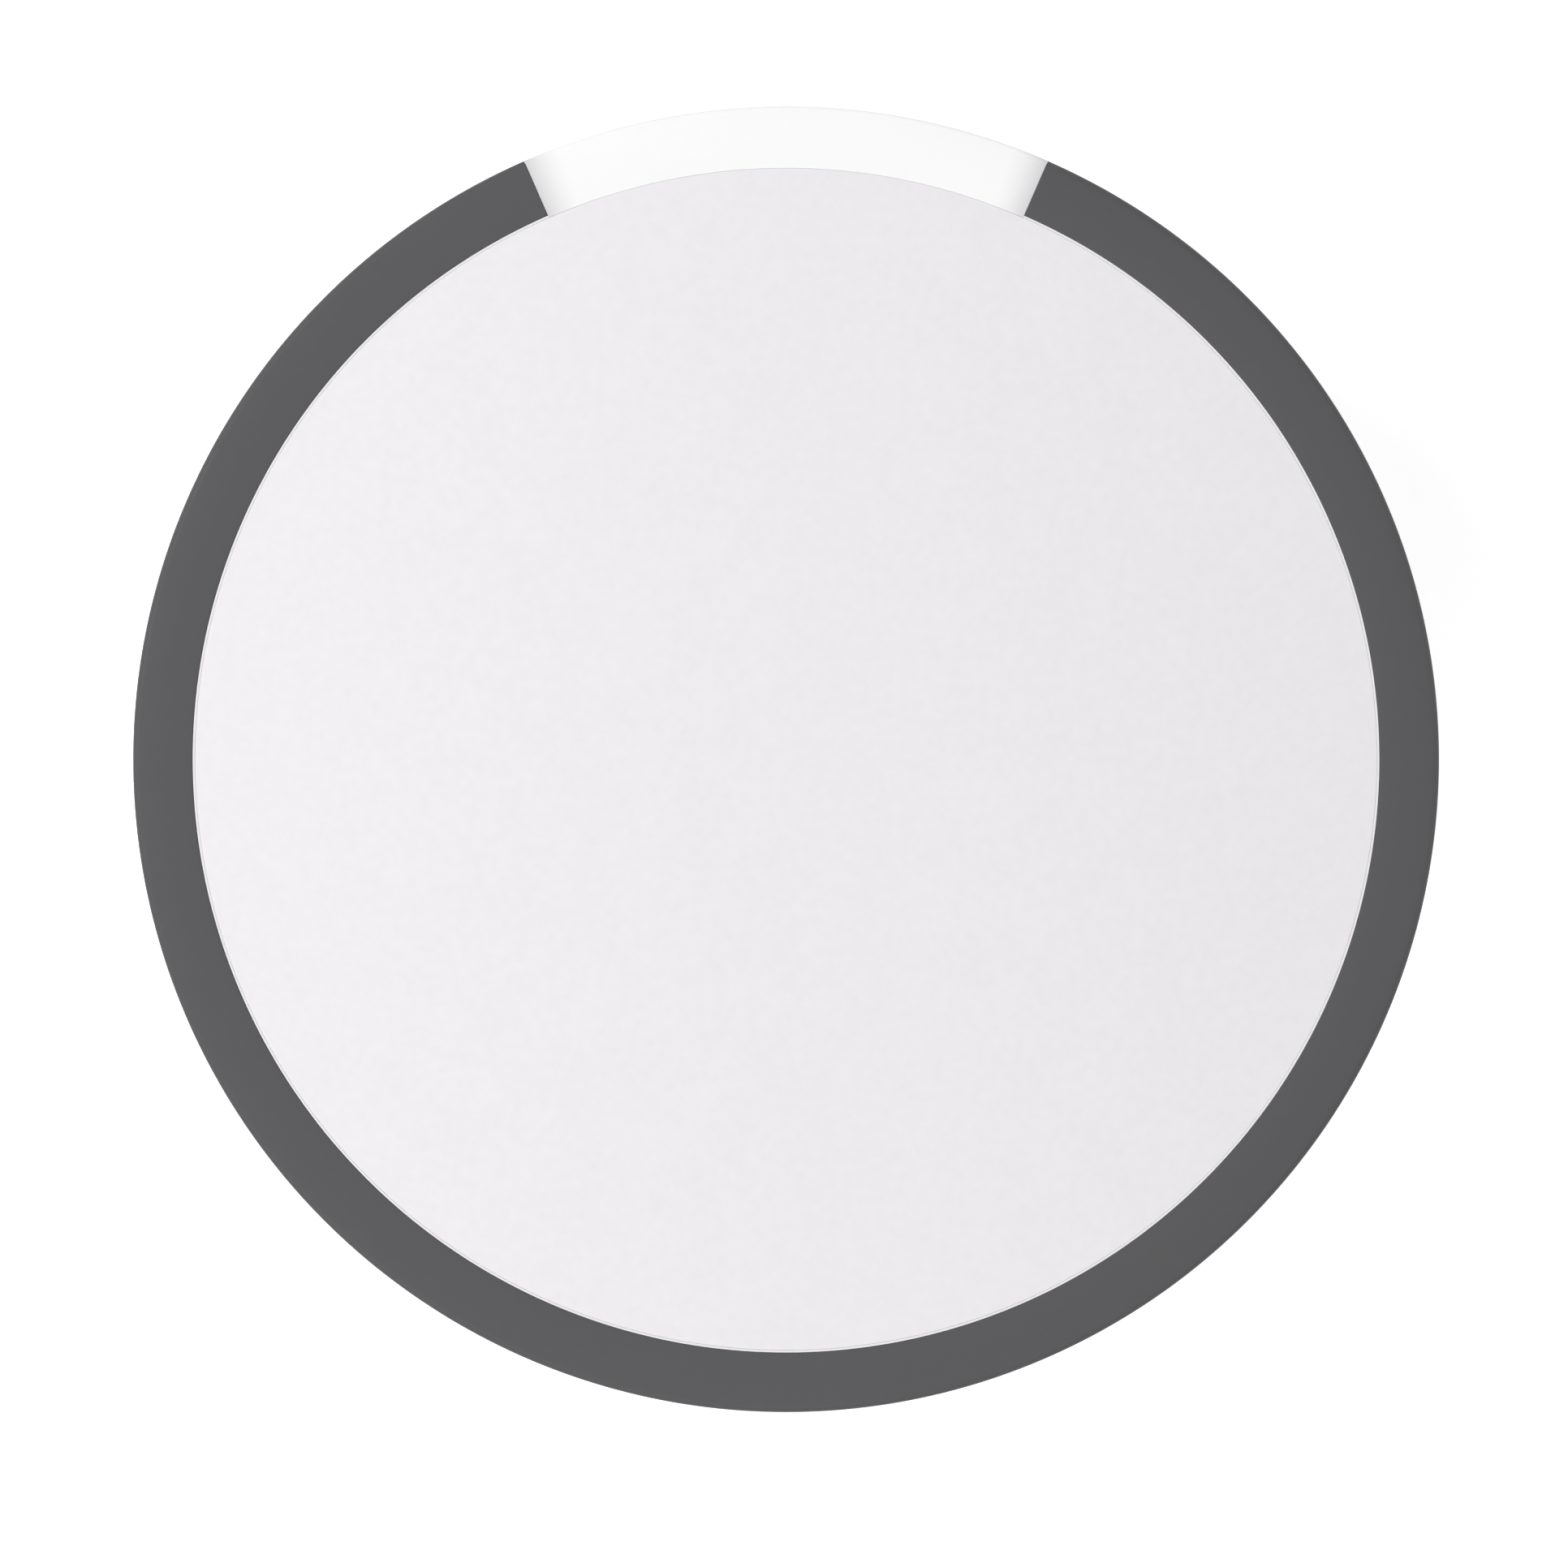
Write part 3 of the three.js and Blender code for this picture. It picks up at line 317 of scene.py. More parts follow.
def newGroup(name, inputs, outputs):
    group = bpy.data.node_groups.new(name, "ShaderNodeTree")
    for socket, value in inputs.items():
        made = group.interface.new_socket(socket, in_out="INPUT", socket_type="NodeSocketFloat")
        made.default_value = value
    for socket, kind in outputs.items():
        group.interface.new_socket(socket, in_out="OUTPUT", socket_type="NodeSocket" + kind)
    return group, addNode(group, "NodeGroupInput")


def makeGrainGroup():
    # Spark-eroded mould texture: a fine height, a slow mottling for gloss, and that mottling
    # with specks in it for colour
    outputs = {"Height": "Float", "Mottling": "Float", "Speckle": "Float"}
    group, given = newGroup("mouldGrain", mouldTexture, outputs)
    where, share = objectSpace(group), mouldNoise["speckShare"]
    speckPitch = times(group, given["Pitch"], mouldNoise["speckPitch"])
    height = noise(group, where, given["Pitch"], mouldNoise["fineDetail"])
    mottling = noise(group, where, given["Mottle"], mouldNoise["slowDetail"])
    specks = noise(group, where, speckPitch, mouldNoise["speckDetail"])
    both = mathNode(group, "MULTIPLY_ADD", specks, share, times(group, mottling, 1 - share))
    addNode(group, "NodeGroupOutput", {"Height": height, "Mottling": mottling, "Speckle": both})
    return group


def makeEdgeGroup():
    # A mask along the edges, and the normal with the edges rounded off
    group, given = newGroup("roundedEdge", edgeRounding, {"Edge": "Float", "Normal": "Vector"})
    bevel, dot = group.nodes.new("ShaderNodeBevel"), group.nodes.new("ShaderNodeVectorMath")
    bevel.samples, dot.operation = bevelSamples, "DOT_PRODUCT"
    normal = fill(group, bevel, {"Radius": given["Radius"]}).outputs["Normal"]
    fill(group, dot, {0: normal, 1: addNode(group, "ShaderNodeNewGeometry")["Normal"]})
    away = mathNode(group, "SUBTRACT", 1.0, dot.outputs["Value"])
    edge = times(group, away, given["Strength"], clamp=True)
    addNode(group, "NodeGroupOutput", {"Edge": edge, "Normal": normal})
    return group


def makeBrushGroup():
    # Drawn or turned metal: streaks stretched along x, and blotches of thin oxide
    group, given = newGroup("drawnMetal", {"Pitch": 900.0}, {"Streak": "Float", "Oxide": "Float"})
    where = objectSpace(group)
    stretched = addNode(group, "ShaderNodeMapping", {"Vector": where, "Scale": drawing["stretch"]})
    streak = noise(group, stretched["Vector"], given["Pitch"])
    oxide = noise(group, where, drawing["oxidePitch"], drawing["oxideDetail"])
    addNode(group, "NodeGroupOutput", {"Streak": streak, "Oxide": oxide})
    return group


grainGroup = makeGrainGroup()
edgeGroup = makeEdgeGroup()
brushGroup = makeBrushGroup()


def newMaterial(name):
    material = bpy.data.materials.new(name)
    material.use_nodes = True
    tree = material.node_tree
    return material, tree, tree.nodes["Principled BSDF"]


def placeGroup(tree, group, **values):
    node = tree.nodes.new("ShaderNodeGroup")
    node.node_tree = group
    return fill(tree, node, values).outputs


def grained(tree, look):
    return placeGroup(tree, grainGroup, Pitch=look["pitch"], Mottle=look["mottle"])


def bumped(tree, shader, height, strength, distance, normal=None):
    inputs = {"Strength": strength, "Distance": distance, "Height": height}
    if normal:
        inputs["Normal"] = normal
    fill(tree, shader, {"Normal": addNode(tree, "ShaderNodeBump", inputs)["Normal"]})


def shaded(colour, factor):
    return tuple(min(1.0, c * factor) for c in colour)


def moulded(name, colour, edgeColour, tone, tint=None, roughness=0.5, pitch=3000, mottle=300, wear=0.5,
            bump=0.25, specular=0.4, edgeRadius=0.00015, glossSpread=0.08, grainDepth=0.00002):
    # Moulded plastic: grain, slow mottling of colour and gloss, and worn, paler edges.
    # tint, where given, changes the colour further.
    material, tree, shader = newMaterial(name)
    grain = placeGroup(tree, grainGroup, Pitch=pitch, Mottle=mottle)
    edge = placeGroup(tree, edgeGroup, Radius=edgeRadius)
    mottled = mixColour(tree, grain["Speckle"], shaded(colour, 1 - tone), shaded(colour, 1 + tone))
    worn = times(tree, edge["Edge"], wear, clamp=True)
    colour = mixColour(tree, worn, mottled, edgeColour)
    if tint:
        colour = tint(tree, shader, colour)
    gloss = ramped(tree, grain["Mottling"], 0, 1, roughness - glossSpread, roughness + glossSpread, False)
    fill(tree, shader, {"Base Color": colour, "Roughness": gloss, "Specular IOR Level": specular})
    bumped(tree, shader, grain["Height"], bump, grainDepth, edge["Normal"])
    return material


plastics = dict(
    faceWhite=dict(colour=(0.818, 0.802, 0.826), edgeColour=(0.86, 0.85, 0.87), tone=0.042, pitch=5200,
        mottle=260, wear=0.3, bump=0.2, edgeRadius=0.00002),
    shellWhite=dict(colour=(0.79, 0.775, 0.785), edgeColour=(0.85, 0.84, 0.85), tone=0.02, roughness=0.55,
        pitch=3600, mottle=220, wear=0.3, bump=0.3),
    gripGrey=dict(colour=(0.076, 0.076, 0.0795), edgeColour=(0.1, 0.1, 0.104), tone=0.03, roughness=0.58,
        pitch=4200, wear=0.6, specular=0.3),
    innerBlack=dict(colour=(0.018, 0.018, 0.02), edgeColour=(0.05, 0.05, 0.052), tone=0.1, roughness=0.55,
        bump=0.3),
    acetal=dict(colour=(0.72, 0.7, 0.64), edgeColour=(0.8, 0.78, 0.72), tone=0.03, roughness=0.38,
        pitch=2600, mottle=200, wear=0.4, bump=0.15, specular=0.5),
    relayBlue=dict(colour=(0.03, 0.075, 0.2), edgeColour=(0.07, 0.13, 0.28), tone=0.06, roughness=0.4,
        mottle=400, bump=0.2, specular=0.5),
    terminalGreen=dict(colour=(0.035, 0.19, 0.1), edgeColour=(0.08, 0.3, 0.17), tone=0.06, roughness=0.48,
        mottle=400),
)
finishes = {name: moulded(name, **look) for name, look in plastics.items()}

# The index is given a painted glow, though it holds no lamp, and painted shade darkens it towards the grip at
# its two ends; past them the carrier is unlit
opal = dict(
    colour=(0.905, 0.905, 0.905), edgeColour=(0.93, 0.93, 0.93), tone=0.01, roughness=0.45, pitch=4600,
    mottle=240, wear=0.3, bump=0.12, edgeRadius=0.00002,
)
# Painted glow and painted shade at the index's ends: where they start and end, how the shade deepens, and
# their colours
glowAndEndShade = dict(
    start=20.2, end=23.66, power=1.8, depth=0.32, glow=(0.032, 0.031, 0.032), shade=(0.12, 0.08, 0.13),
)


def paintGlowAndEndShade(tree, shader, colour):
    # Paints an even glow on the index, though no lamp lights it, and painted shade that deepens towards its
    # two ends, by the angle from the top
    x, _, z = objectPlace(tree)
    start, end = math.radians(glowAndEndShade["start"]), math.radians(glowAndEndShade["end"])
    angle = mathNode(tree, "ARCTAN2", mathNode(tree, "ABSOLUTE", x), z)
    along = ramped(tree, angle, start, end, smooth=False)
    # painted shade, deepening towards the index's ends
    endShade = times(tree, mathNode(tree, "POWER", along, glowAndEndShade["power"]), glowAndEndShade["depth"])
    # painted glow, dying away towards the index's ends
    glow = mixColour(tree, along, glowAndEndShade["glow"], (0, 0, 0))
    fill(tree, shader, {"Emission Color": glow, "Emission Strength": 1.0})
    unlit = mathNode(tree, "GREATER_THAN", angle, end)
    lit = mixColour(tree, endShade, colour, glowAndEndShade["shade"])
    return mixColour(tree, unlit, lit, plastics["faceWhite"]["colour"])


finishes["opal"] = moulded("opal", tint=paintGlowAndEndShade, **opal)

metals = dict(
    steel=dict(colour=(0.58, 0.59, 0.61), oxide=(0.42, 0.41, 0.4), roughness=0.28, pitch=1400),
    springSteel=dict(colour=(0.5, 0.5, 0.51), oxide=(0.3, 0.29, 0.28), roughness=0.24, pitch=2600),
    nickel=dict(colour=(0.66, 0.63, 0.57), oxide=(0.5, 0.46, 0.4), roughness=0.22, pitch=1100),
)
metalWear = dict(
    dark=0.92, light=1.06, edge=1.2, edgeShare=0.5, edgeStrength=8.0, oxideEdge=(0.45, 0.8), oxideShare=0.5,
    oxideRoughness=0.2, bump=0.15, depth=0.00001,
)


def metal(name, look):
    wear, own = metalWear, look["colour"]
    material, tree, shader = newMaterial(name)
    brush = placeGroup(tree, brushGroup, Pitch=look["pitch"])
    edge = placeGroup(tree, edgeGroup, Strength=wear["edgeStrength"])
    dull = ramped(tree, brush["Oxide"], *wear["oxideEdge"])
    base = mixColour(tree, brush["Streak"], shaded(own, wear["dark"]), shaded(own, wear["light"]))
    base = mixColour(tree, times(tree, dull, wear["oxideShare"]), base, look["oxide"])
    worn = times(tree, edge["Edge"], wear["edgeShare"])
    colour = mixColour(tree, worn, base, shaded(own, wear["edge"]))
    rough = mathNode(tree, "MULTIPLY_ADD", dull, wear["oxideRoughness"], look["roughness"])
    fill(tree, shader, {"Base Color": colour, "Roughness": rough, "Metallic": 1.0})
    bumped(tree, shader, brush["Streak"], wear["bump"], wear["depth"], edge["Normal"])
    return material


finishes.update({name: metal(name, look) for name, look in metals.items()})

# Sleeve of a cell: satin print, with a coloured band at the positive end
sleeve = dict(
    colour=(0.035, 0.042, 0.05), edgeColour=(0.1, 0.11, 0.12), tone=0.12, roughness=0.3, pitch=2200,
    mottle=160, wear=0.3, bump=0.08, specular=0.5,
)
band = dict(colour=(0.42, 0.17, 0.055), length=9.5, coat=0.4, coatRoughness=0.12)


def sleeveFinish(way, end):
    def banded(tree, shader, colour):
        limit = (end - way * band["length"]) * mm
        inBand = mathNode(tree, "GREATER_THAN" if way > 0 else "LESS_THAN", objectPlace(tree)[0], limit)
        fill(tree, shader, {"Coat Weight": band["coat"], "Coat Roughness": band["coatRoughness"]})
        return mixColour(tree, inBand, colour, band["colour"])
    return moulded("cellSleeve", tint=banded, **sleeve)


# Moulded acrylic with a field of fine light-scattering dots
acrylic = dict(
    pitch=1500, mottle=150, dark=(0.9, 0.95, 0.97), light=(0.96, 0.98, 0.99), dotPitch=1400,
    dotEdge=(0.2, 0.4), dotRoughness=0.35, polish=0.06, bump=0.3, depth=0.00002, transmission=0.85, ior=1.49,
)


def clearFinish():
    look = acrylic
    material, tree, shader = newMaterial("clearAcrylic")
    grain = grained(tree, look)
    inputs = {"Vector": objectSpace(tree), "Scale": look["dotPitch"]}
    dots = addNode(tree, "ShaderNodeTexVoronoi", inputs)["Distance"]
    dot = ramped(tree, dots, *look["dotEdge"], 1.0, 0.0)
    rough = mathNode(tree, "MULTIPLY_ADD", dot, look["dotRoughness"], look["polish"])
    fill(tree, shader, {
        "Base Color": mixColour(tree, grain["Mottling"], look["dark"], look["light"]),
        "Roughness": rough, "Transmission Weight": look["transmission"], "IOR": look["ior"],
    })
    bumped(tree, shader, dot, look["bump"], look["depth"])
    return material


def frontPlane(tree, x, z):
    return addNode(tree, "ShaderNodeCombineXYZ", {0: x, 1: z})[0]


# Polarised glass: near black, with a faint grid of cells under the polish
glass = dict(
    pitch=2400, mottle=90, dark=(0.006, 0.007, 0.011), light=(0.012, 0.013, 0.018), line=(0.02, 0.022, 0.028),
    gridPitch=900, lineWidth=0.03, smudge=(0.4, 0.7, 0.06, 0.16), bump=0.02, depth=0.00001, coat=0.6,
)


def displayFinish():
    look = glass
    material, tree, shader = newMaterial("displayGlass")
    mottling = grained(tree, look)["Mottling"]
    x, _, z = objectPlace(tree)
    grid = tree.nodes.new("ShaderNodeTexBrick")
    grid.offset = 0.0
    inputs = {"Vector": frontPlane(tree, x, z), "Scale": look["gridPitch"], "Mortar Size": look["lineWidth"]}
    fill(tree, grid, inputs)
    base = mixColour(tree, mottling, look["dark"], look["light"])
    colour = mixColour(tree, grid.outputs["Fac"], base, look["line"])
    smudge = ramped(tree, mottling, *look["smudge"])
    fill(tree, shader, {"Base Color": colour, "Roughness": smudge, "Coat Weight": look["coat"]})
    bumped(tree, shader, mottling, look["bump"], look["depth"])
    return material


# Circuit board: what stands above its front is a lamp, the chip or a capacitor
boardLook = dict(
    pitch=2600, mottle=180, top=19.56, lampRing=34.4, mask=(0.012, 0.085, 0.04), trace=(0.02, 0.14, 0.062),
    stain=(0.02, 0.12, 0.06), stainShare=0.25, pad=(0.55, 0.42, 0.2), lamp=(0.85, 0.82, 0.6),
    chip=(0.022, 0.022, 0.024), can=(0.62, 0.63, 0.64), trackPitch=320, trackFold=0.11,
    trackEdge=(0.045, 0.06), viaPitch=260, viaEdge=(0.1, 0.13), gloss=(0.28, 0.42), grainShare=0.3, bump=0.3,
    depth=0.00003,
)


def boardFinish():
    look = boardLook
    material, tree, shader = newMaterial("circuitBoard")
    grain = grained(tree, look)
    x, y, z = objectPlace(tree)
    flat = frontPlane(tree, x, z)
    tracks = tree.nodes.new("ShaderNodeTexVoronoi")
    tracks.distance, tracks.feature = "MANHATTAN", "F2"
    fill(tree, tracks, {"Vector": flat, "Scale": look["trackPitch"]})
    vias = addNode(tree, "ShaderNodeTexVoronoi", {"Vector": flat, "Scale": look["viaPitch"]})
    folded = mathNode(tree, "PINGPONG", tracks.outputs["Distance"], look["trackFold"])
    track = ramped(tree, folded, *look["trackEdge"])
    via = ramped(tree, vias["Distance"], *look["viaEdge"], 1.0, 0.0)
    green = mixColour(tree, track, look["mask"], look["trace"])
    stain = times(tree, grain["Mottling"], look["stainShare"])
    green = mixColour(tree, stain, green, look["stain"])
    squares = [times(tree, side, side) for side in (x, z)]
    radius = mathNode(tree, "SQRT", mathNode(tree, "ADD", *squares))
    raised = mathNode(tree, "LESS_THAN", y, -look["top"] * mm)
    level = mathNode(tree, "SUBTRACT", 1.0, raised)
    isLamp = mathNode(tree, "GREATER_THAN", radius, look["lampRing"] * mm)
    isChip = mathNode(tree, "GREATER_THAN", x, 0.0)
    part = mixColour(tree, isChip, look["can"], look["chip"])
    part = mixColour(tree, isLamp, part, look["lamp"])
    isCan = mathNode(tree, "SUBTRACT", 1.0, mathNode(tree, "MAXIMUM", isLamp, isChip))
    fill(tree, shader, {
        "Base Color": mixColour(tree, raised, mixColour(tree, via, green, look["pad"]), part),
        "Metallic": mathNode(tree, "MAXIMUM", times(tree, raised, isCan), times(tree, via, level)),
        "Roughness": ramped(tree, grain["Mottling"], 0, 1, *look["gloss"], False),
    })
    height = mathNode(tree, "MULTIPLY_ADD", grain["Height"], look["grainShare"], track)
    bumped(tree, shader, height, look["bump"], look["depth"])
    return material


def headerFinish(bodyBottom=15.1, gilding=(0.75, 0.56, 0.24)):
    # Black carrier with gilded pins below it
    def gilded(tree, shader, colour):
        isPin = mathNode(tree, "GREATER_THAN", objectPlace(tree)[1], -bodyBottom * mm)
        fill(tree, shader, {"Metallic": isPin})
        return mixColour(tree, isPin, colour, gilding)
    return moulded("pinHeader", tint=gilded, **plastics["innerBlack"])


finishes.update(clear=clearFinish(), display=displayFinish(), board=boardFinish(), header=headerFinish())
print("finishes:", len(finishes))

# Cutting tools run this far past the faces they open, and joined shapes this far into each other
past = 1
bond = 0.5

# Front cover: the plain round face that presses in, with its hooks, guide pins and actuator
cover = dict(
    radius=38.9, thickness=2, edge=0.02, backEdge=0.3, backInset=0.16, rim=(0.7, 1.1),
    pocket=(44.6, 24.6, 0.8), pocketCorner=2, pinCircle=30.5, pinRadius=1.1, pinEnd=21.2,
    pinAngles=(90, 225, 315), hookCircle=31, hookAngles=(45, 135, 270), hookWidth=5, hookThickness=1.2,
    hookNose=0.8, noseSlope=2 / 3, buttonY=-20, buttonRadius=2, buttonEnd=23.1,
)


def makeCover():
    _, _, hookEnd, front = boxOf("front_cover")
    back = front - cover["thickness"]
    root = back + bond
    radius, (rimDepth, rimFoot) = cover["radius"], cover["rim"]
    backRadius = radius - cover["backInset"]
    disc = revolved("face_cover", [
        (0, back), (backRadius, back, cover["backEdge"]), (backRadius, front - rimFoot),
        (radius, front - rimDepth), (radius, front, cover["edge"]), (0, front),
    ], segments=360)
    width, height, depth = cover["pocket"]
    pocket = slab(width, height, cover["pocketCorner"])
    carved(disc, [prism("pocket", pocket, back - past, back + depth)])
    adds = [rod("actuator", cover["buttonRadius"], cover["buttonEnd"], root, 0, cover["buttonY"])]
    for x, y in spots(cover, "pin"):
        adds.append(rod("pin", cover["pinRadius"], cover["pinEnd"], root, x, y))
    half, nose = cover["hookWidth"] / 2, cover["hookNose"]
    inner = cover["hookCircle"] - cover["hookThickness"] / 2
    outer = inner + cover["hookThickness"]
    tip, shelf = outer + nose, hookEnd + nose
    side = [(inner, root), (inner, hookEnd), (outer, hookEnd), (tip, hookEnd + nose * cover["noseSlope"]),
            (tip, shelf), (outer, shelf), (outer, root)]
    for angle in cover["hookAngles"]:
        c, s = polar(1, angle)
        put = lambda r, h, w: place(c * r - s * w, s * r + c * w, h)
        adds.append(prism("hook", side, -half, half, put))
    fused(disc, adds)
    finished(disc, "faceWhite", "face", "face_white", "front_cover")


makeCover()
print("face cover done")

# Grip: the dark ring, open at the top where the index fills it
grip = dict(
    radius=43, wall=1.2, flange=1.2, frontEdge=0.45, backEdge=0.3, lipEdge=0.12, openingEdge=0.07,
    lipReach=0.7, lipDepth=0.5, opening=39.07, notchHalfAngle=23.66, notchDepth=6.5, notchInner=31.07,
)


def makeGrip():
    _, _, back, front = boxOf("grip_ring")
    outer, opening = grip["radius"], grip["opening"]
    inner, flange, lipTop = outer - grip["wall"], front - grip["flange"], back + grip["lipDepth"]
    lip = inner - grip["lipReach"]
    ring = revolved("grip_shell", [
        (lip, back, grip["lipEdge"]), (outer, back, grip["backEdge"]), (outer, front, grip["frontEdge"]),
        (opening, front, grip["openingEdge"]), (opening, flange), (inner, flange), (inner, lipTop),
        (lip, lipTop),
    ], segments=360)
    notch = sector(grip["notchInner"], outer + 2 * past, 90, grip["notchHalfAngle"])
    carved(ring, [prism("notch", notch, front - grip["notchDepth"], front + past)])
    finished(ring, "gripGrey", "dial", "grip_grey", "grip_ring")


makeGrip()
print("grip done")

# Opal carrier: the index in the notch of the grip, the bearing ring, and the ring gear inside
carrier = dict(
    outer=41.5, bevel=0.4, topEdge=0.2, openingEdge=0.1, top=25.5, land=19.7, groove=40, gearTop=17.6,
    teeth=77, module=1, pressureAngle=20, tip=37.9, root=39.7, backlash=0.2, spaceStart=37.65, spaceTop=17.8,
    toolInner=28, plainHalfAngle=31, lugHalfAngle=2.2, lugReach=1.75, seat=0.3, indexHalfAngle=23.64,
    indexFoot=20.52, footEdge=0.05, indexEdge=0.2, indexInset=0.01, lip=38.91, lipEdge=0.015, lipOuter=39.06,
    lipFoot=(39.5, 25, 25.4),
)


def toothedOutline(teeth, innerRadius, tipRadius, extra, steps=4):
    pitch = carrier["module"] * teeth / 2
    pressure = math.radians(carrier["pressureAngle"])
    base = pitch * math.cos(pressure)
    involute = lambda a: math.tan(a) - a
    pitchHalf = math.pi / (2 * teeth) + extra / (2 * pitch) + involute(pressure)
    flank = []
    for i in range(steps):
        radius = innerRadius + (tipRadius - innerRadius) * i / (steps - 1)
        flank.append((radius, math.degrees(pitchHalf - involute(math.acos(base / max(radius, base))))))
    outline = []
    for tooth in range(teeth):
        middle = 180 + 360 * (tooth + 0.5) / teeth
        outline += [polar(radius, middle - half) for radius, half in flank]
        outline += [polar(radius, middle + half) for radius, half in reversed(flank)]
    return outline


def makeCarrier():
    back, front = boxOf("dial_carrier")[2], boxOf("grip_ring")[3] - carrier["indexInset"]
    opening, groove, land, outer = grip["opening"], carrier["groove"], carrier["land"], carrier["outer"]
    top, tip, gearTop, seat = pick(carrier, "top", "tip", "gearTop", "seat")
    body = revolved("dial_carrier_body", [
        (tip, back), (outer, back, carrier["bevel"]), (outer, top, carrier["topEdge"]),
        (opening, top, carrier["openingEdge"]), (opening, land), (groove, land - (groove - opening)),
        (groove, gearTop), (tip, gearTop),
    ], segments=288)
    teeth, start, root = pick(carrier, "teeth", "spaceStart", "root")
    outline = toothedOutline(teeth, start, root, carrier["backlash"] / 2)
    spaces = prism("spaces", outline, back - past, carrier["spaceTop"])
    plain = sector(carrier["toolInner"], grip["radius"], 0, carrier["plainHalfAngle"])
    carved(spaces, [prism("plainArc", plain, back - 2 * past, top)])
    carved(body, [spaces])
    rim, foot, root = grip["radius"], carrier["indexFoot"], outer - seat
    lip, lipEdge, lipOuter = pick(carrier, "lip", "lipEdge", "lipOuter")
    index = revolved("index", [
        (root, foot), (rim, foot, carrier["footEdge"]), (rim, front, carrier["indexEdge"]),
        (lip, front, lipEdge), (lip, top - seat), (root, top - seat),
    ], segments=360)
    window = sector(carrier["toolInner"], rim + 2 * past, 90, carrier["indexHalfAngle"])
    combined(index, [prism("window", window, 0, rim)], "INTERSECT")
    foot, footLow, footHigh = carrier["lipFoot"]
    band = revolved("lip", [
        (lip, footLow), (foot, footLow), (foot, footHigh), (lipOuter, footHigh), (lipOuter, front),
        (lip, front, lipEdge),
    ], segments=360)
    lug = sector(tip - carrier["lugReach"], tip + seat, 0, carrier["lugHalfAngle"], steps=6)
    fused(body, [index, band, prism("lug", lug, back, gearTop)])
    finished(body, "opal", "dial", "opal", "dial_carrier")


makeCarrier()
print("carrier done")

# Rear housing: shell, cell bay, terminal pocket, screw wells, sockets, stops and vents
housing = dict(
    rim=41.4, rimTop=13.4, lip=(39.1, 0.65, 14.3), lipFoot=(12.7, 11.4), skirt=39.4, skirtStart=1.2,
    sideSteps=12, bendHeights=(5.4, 3.8, 2.4), wall=1.6, floor=(7, 8.6), edges=(0.5, 0.2, 0.15, 0.12, 0.6),
    rows=(5.15, 16.85), cellHeight=11.05, room=5.55, bayWall=1, bayLength=50,
    bridge=(0.8, 19.5, 15.05, -24.6, 11), tabSlot=(0.8, 2, 24.6), boardBottom=17.9,
    pocket=(23.22, 11.2, 11.2, -27), pocketWall=1, pocketCorners=(0.8, 0.3), pinSlot=(16.74, 1.5, -29.6),
    wellCircle=32.6, wellAngles=(65, 115, 237, 303), well=2.6, wellWall=0.9, seat=9.8, wellTop=14.3,
    screwHole=1.4, boardBosses=((20, -17), (-20, -17), (-10.25, 24.9)), boss=2.5, bossTop=17.6,
    bossHole=(1.2, 12.7), socketCircle=32.4, socketAngles=(53.7, 126.3, 212, 328), socket=2.7, socketWall=1,
    socketTop=8.9, pivotX=-33, pivotFoot=2.6, pivotTop=12.6, pivotHole=(1.3, 10), stopAngle=40.65,
    stopOuter=37.45, stopThickness=2, stopHalfAngle=2, gusset=(0.5, 0.8, 1), gearTop=17.6,
    vent=(7, 1.6, 39.7), ventSides=(90, 270), ventTurns=(-12, -6, 0, 6, 12), ventHeights=(9.6, 12.4),
)


def sideRadius(height):
    share = (height - housing["skirtStart"]) / (housing["rimTop"] - housing["skirtStart"])
    return housing["skirt"] + (housing["rim"] - housing["skirt"]) * math.sin(share * math.pi / 2)


def vault(name, radius, length, low, y):
    # a box up to the cell's axis with half a cylinder over it
    arc = [polar(radius, angle) for angle in range(0, 181, 6)]
    outline = [(y - radius, low), *[(y - u, housing["cellHeight"] + v) for u, v in arc], (y + radius, low)]
    return prism(name, outline, -length / 2, length / 2, lambda u, v, along: place(along, u, v))


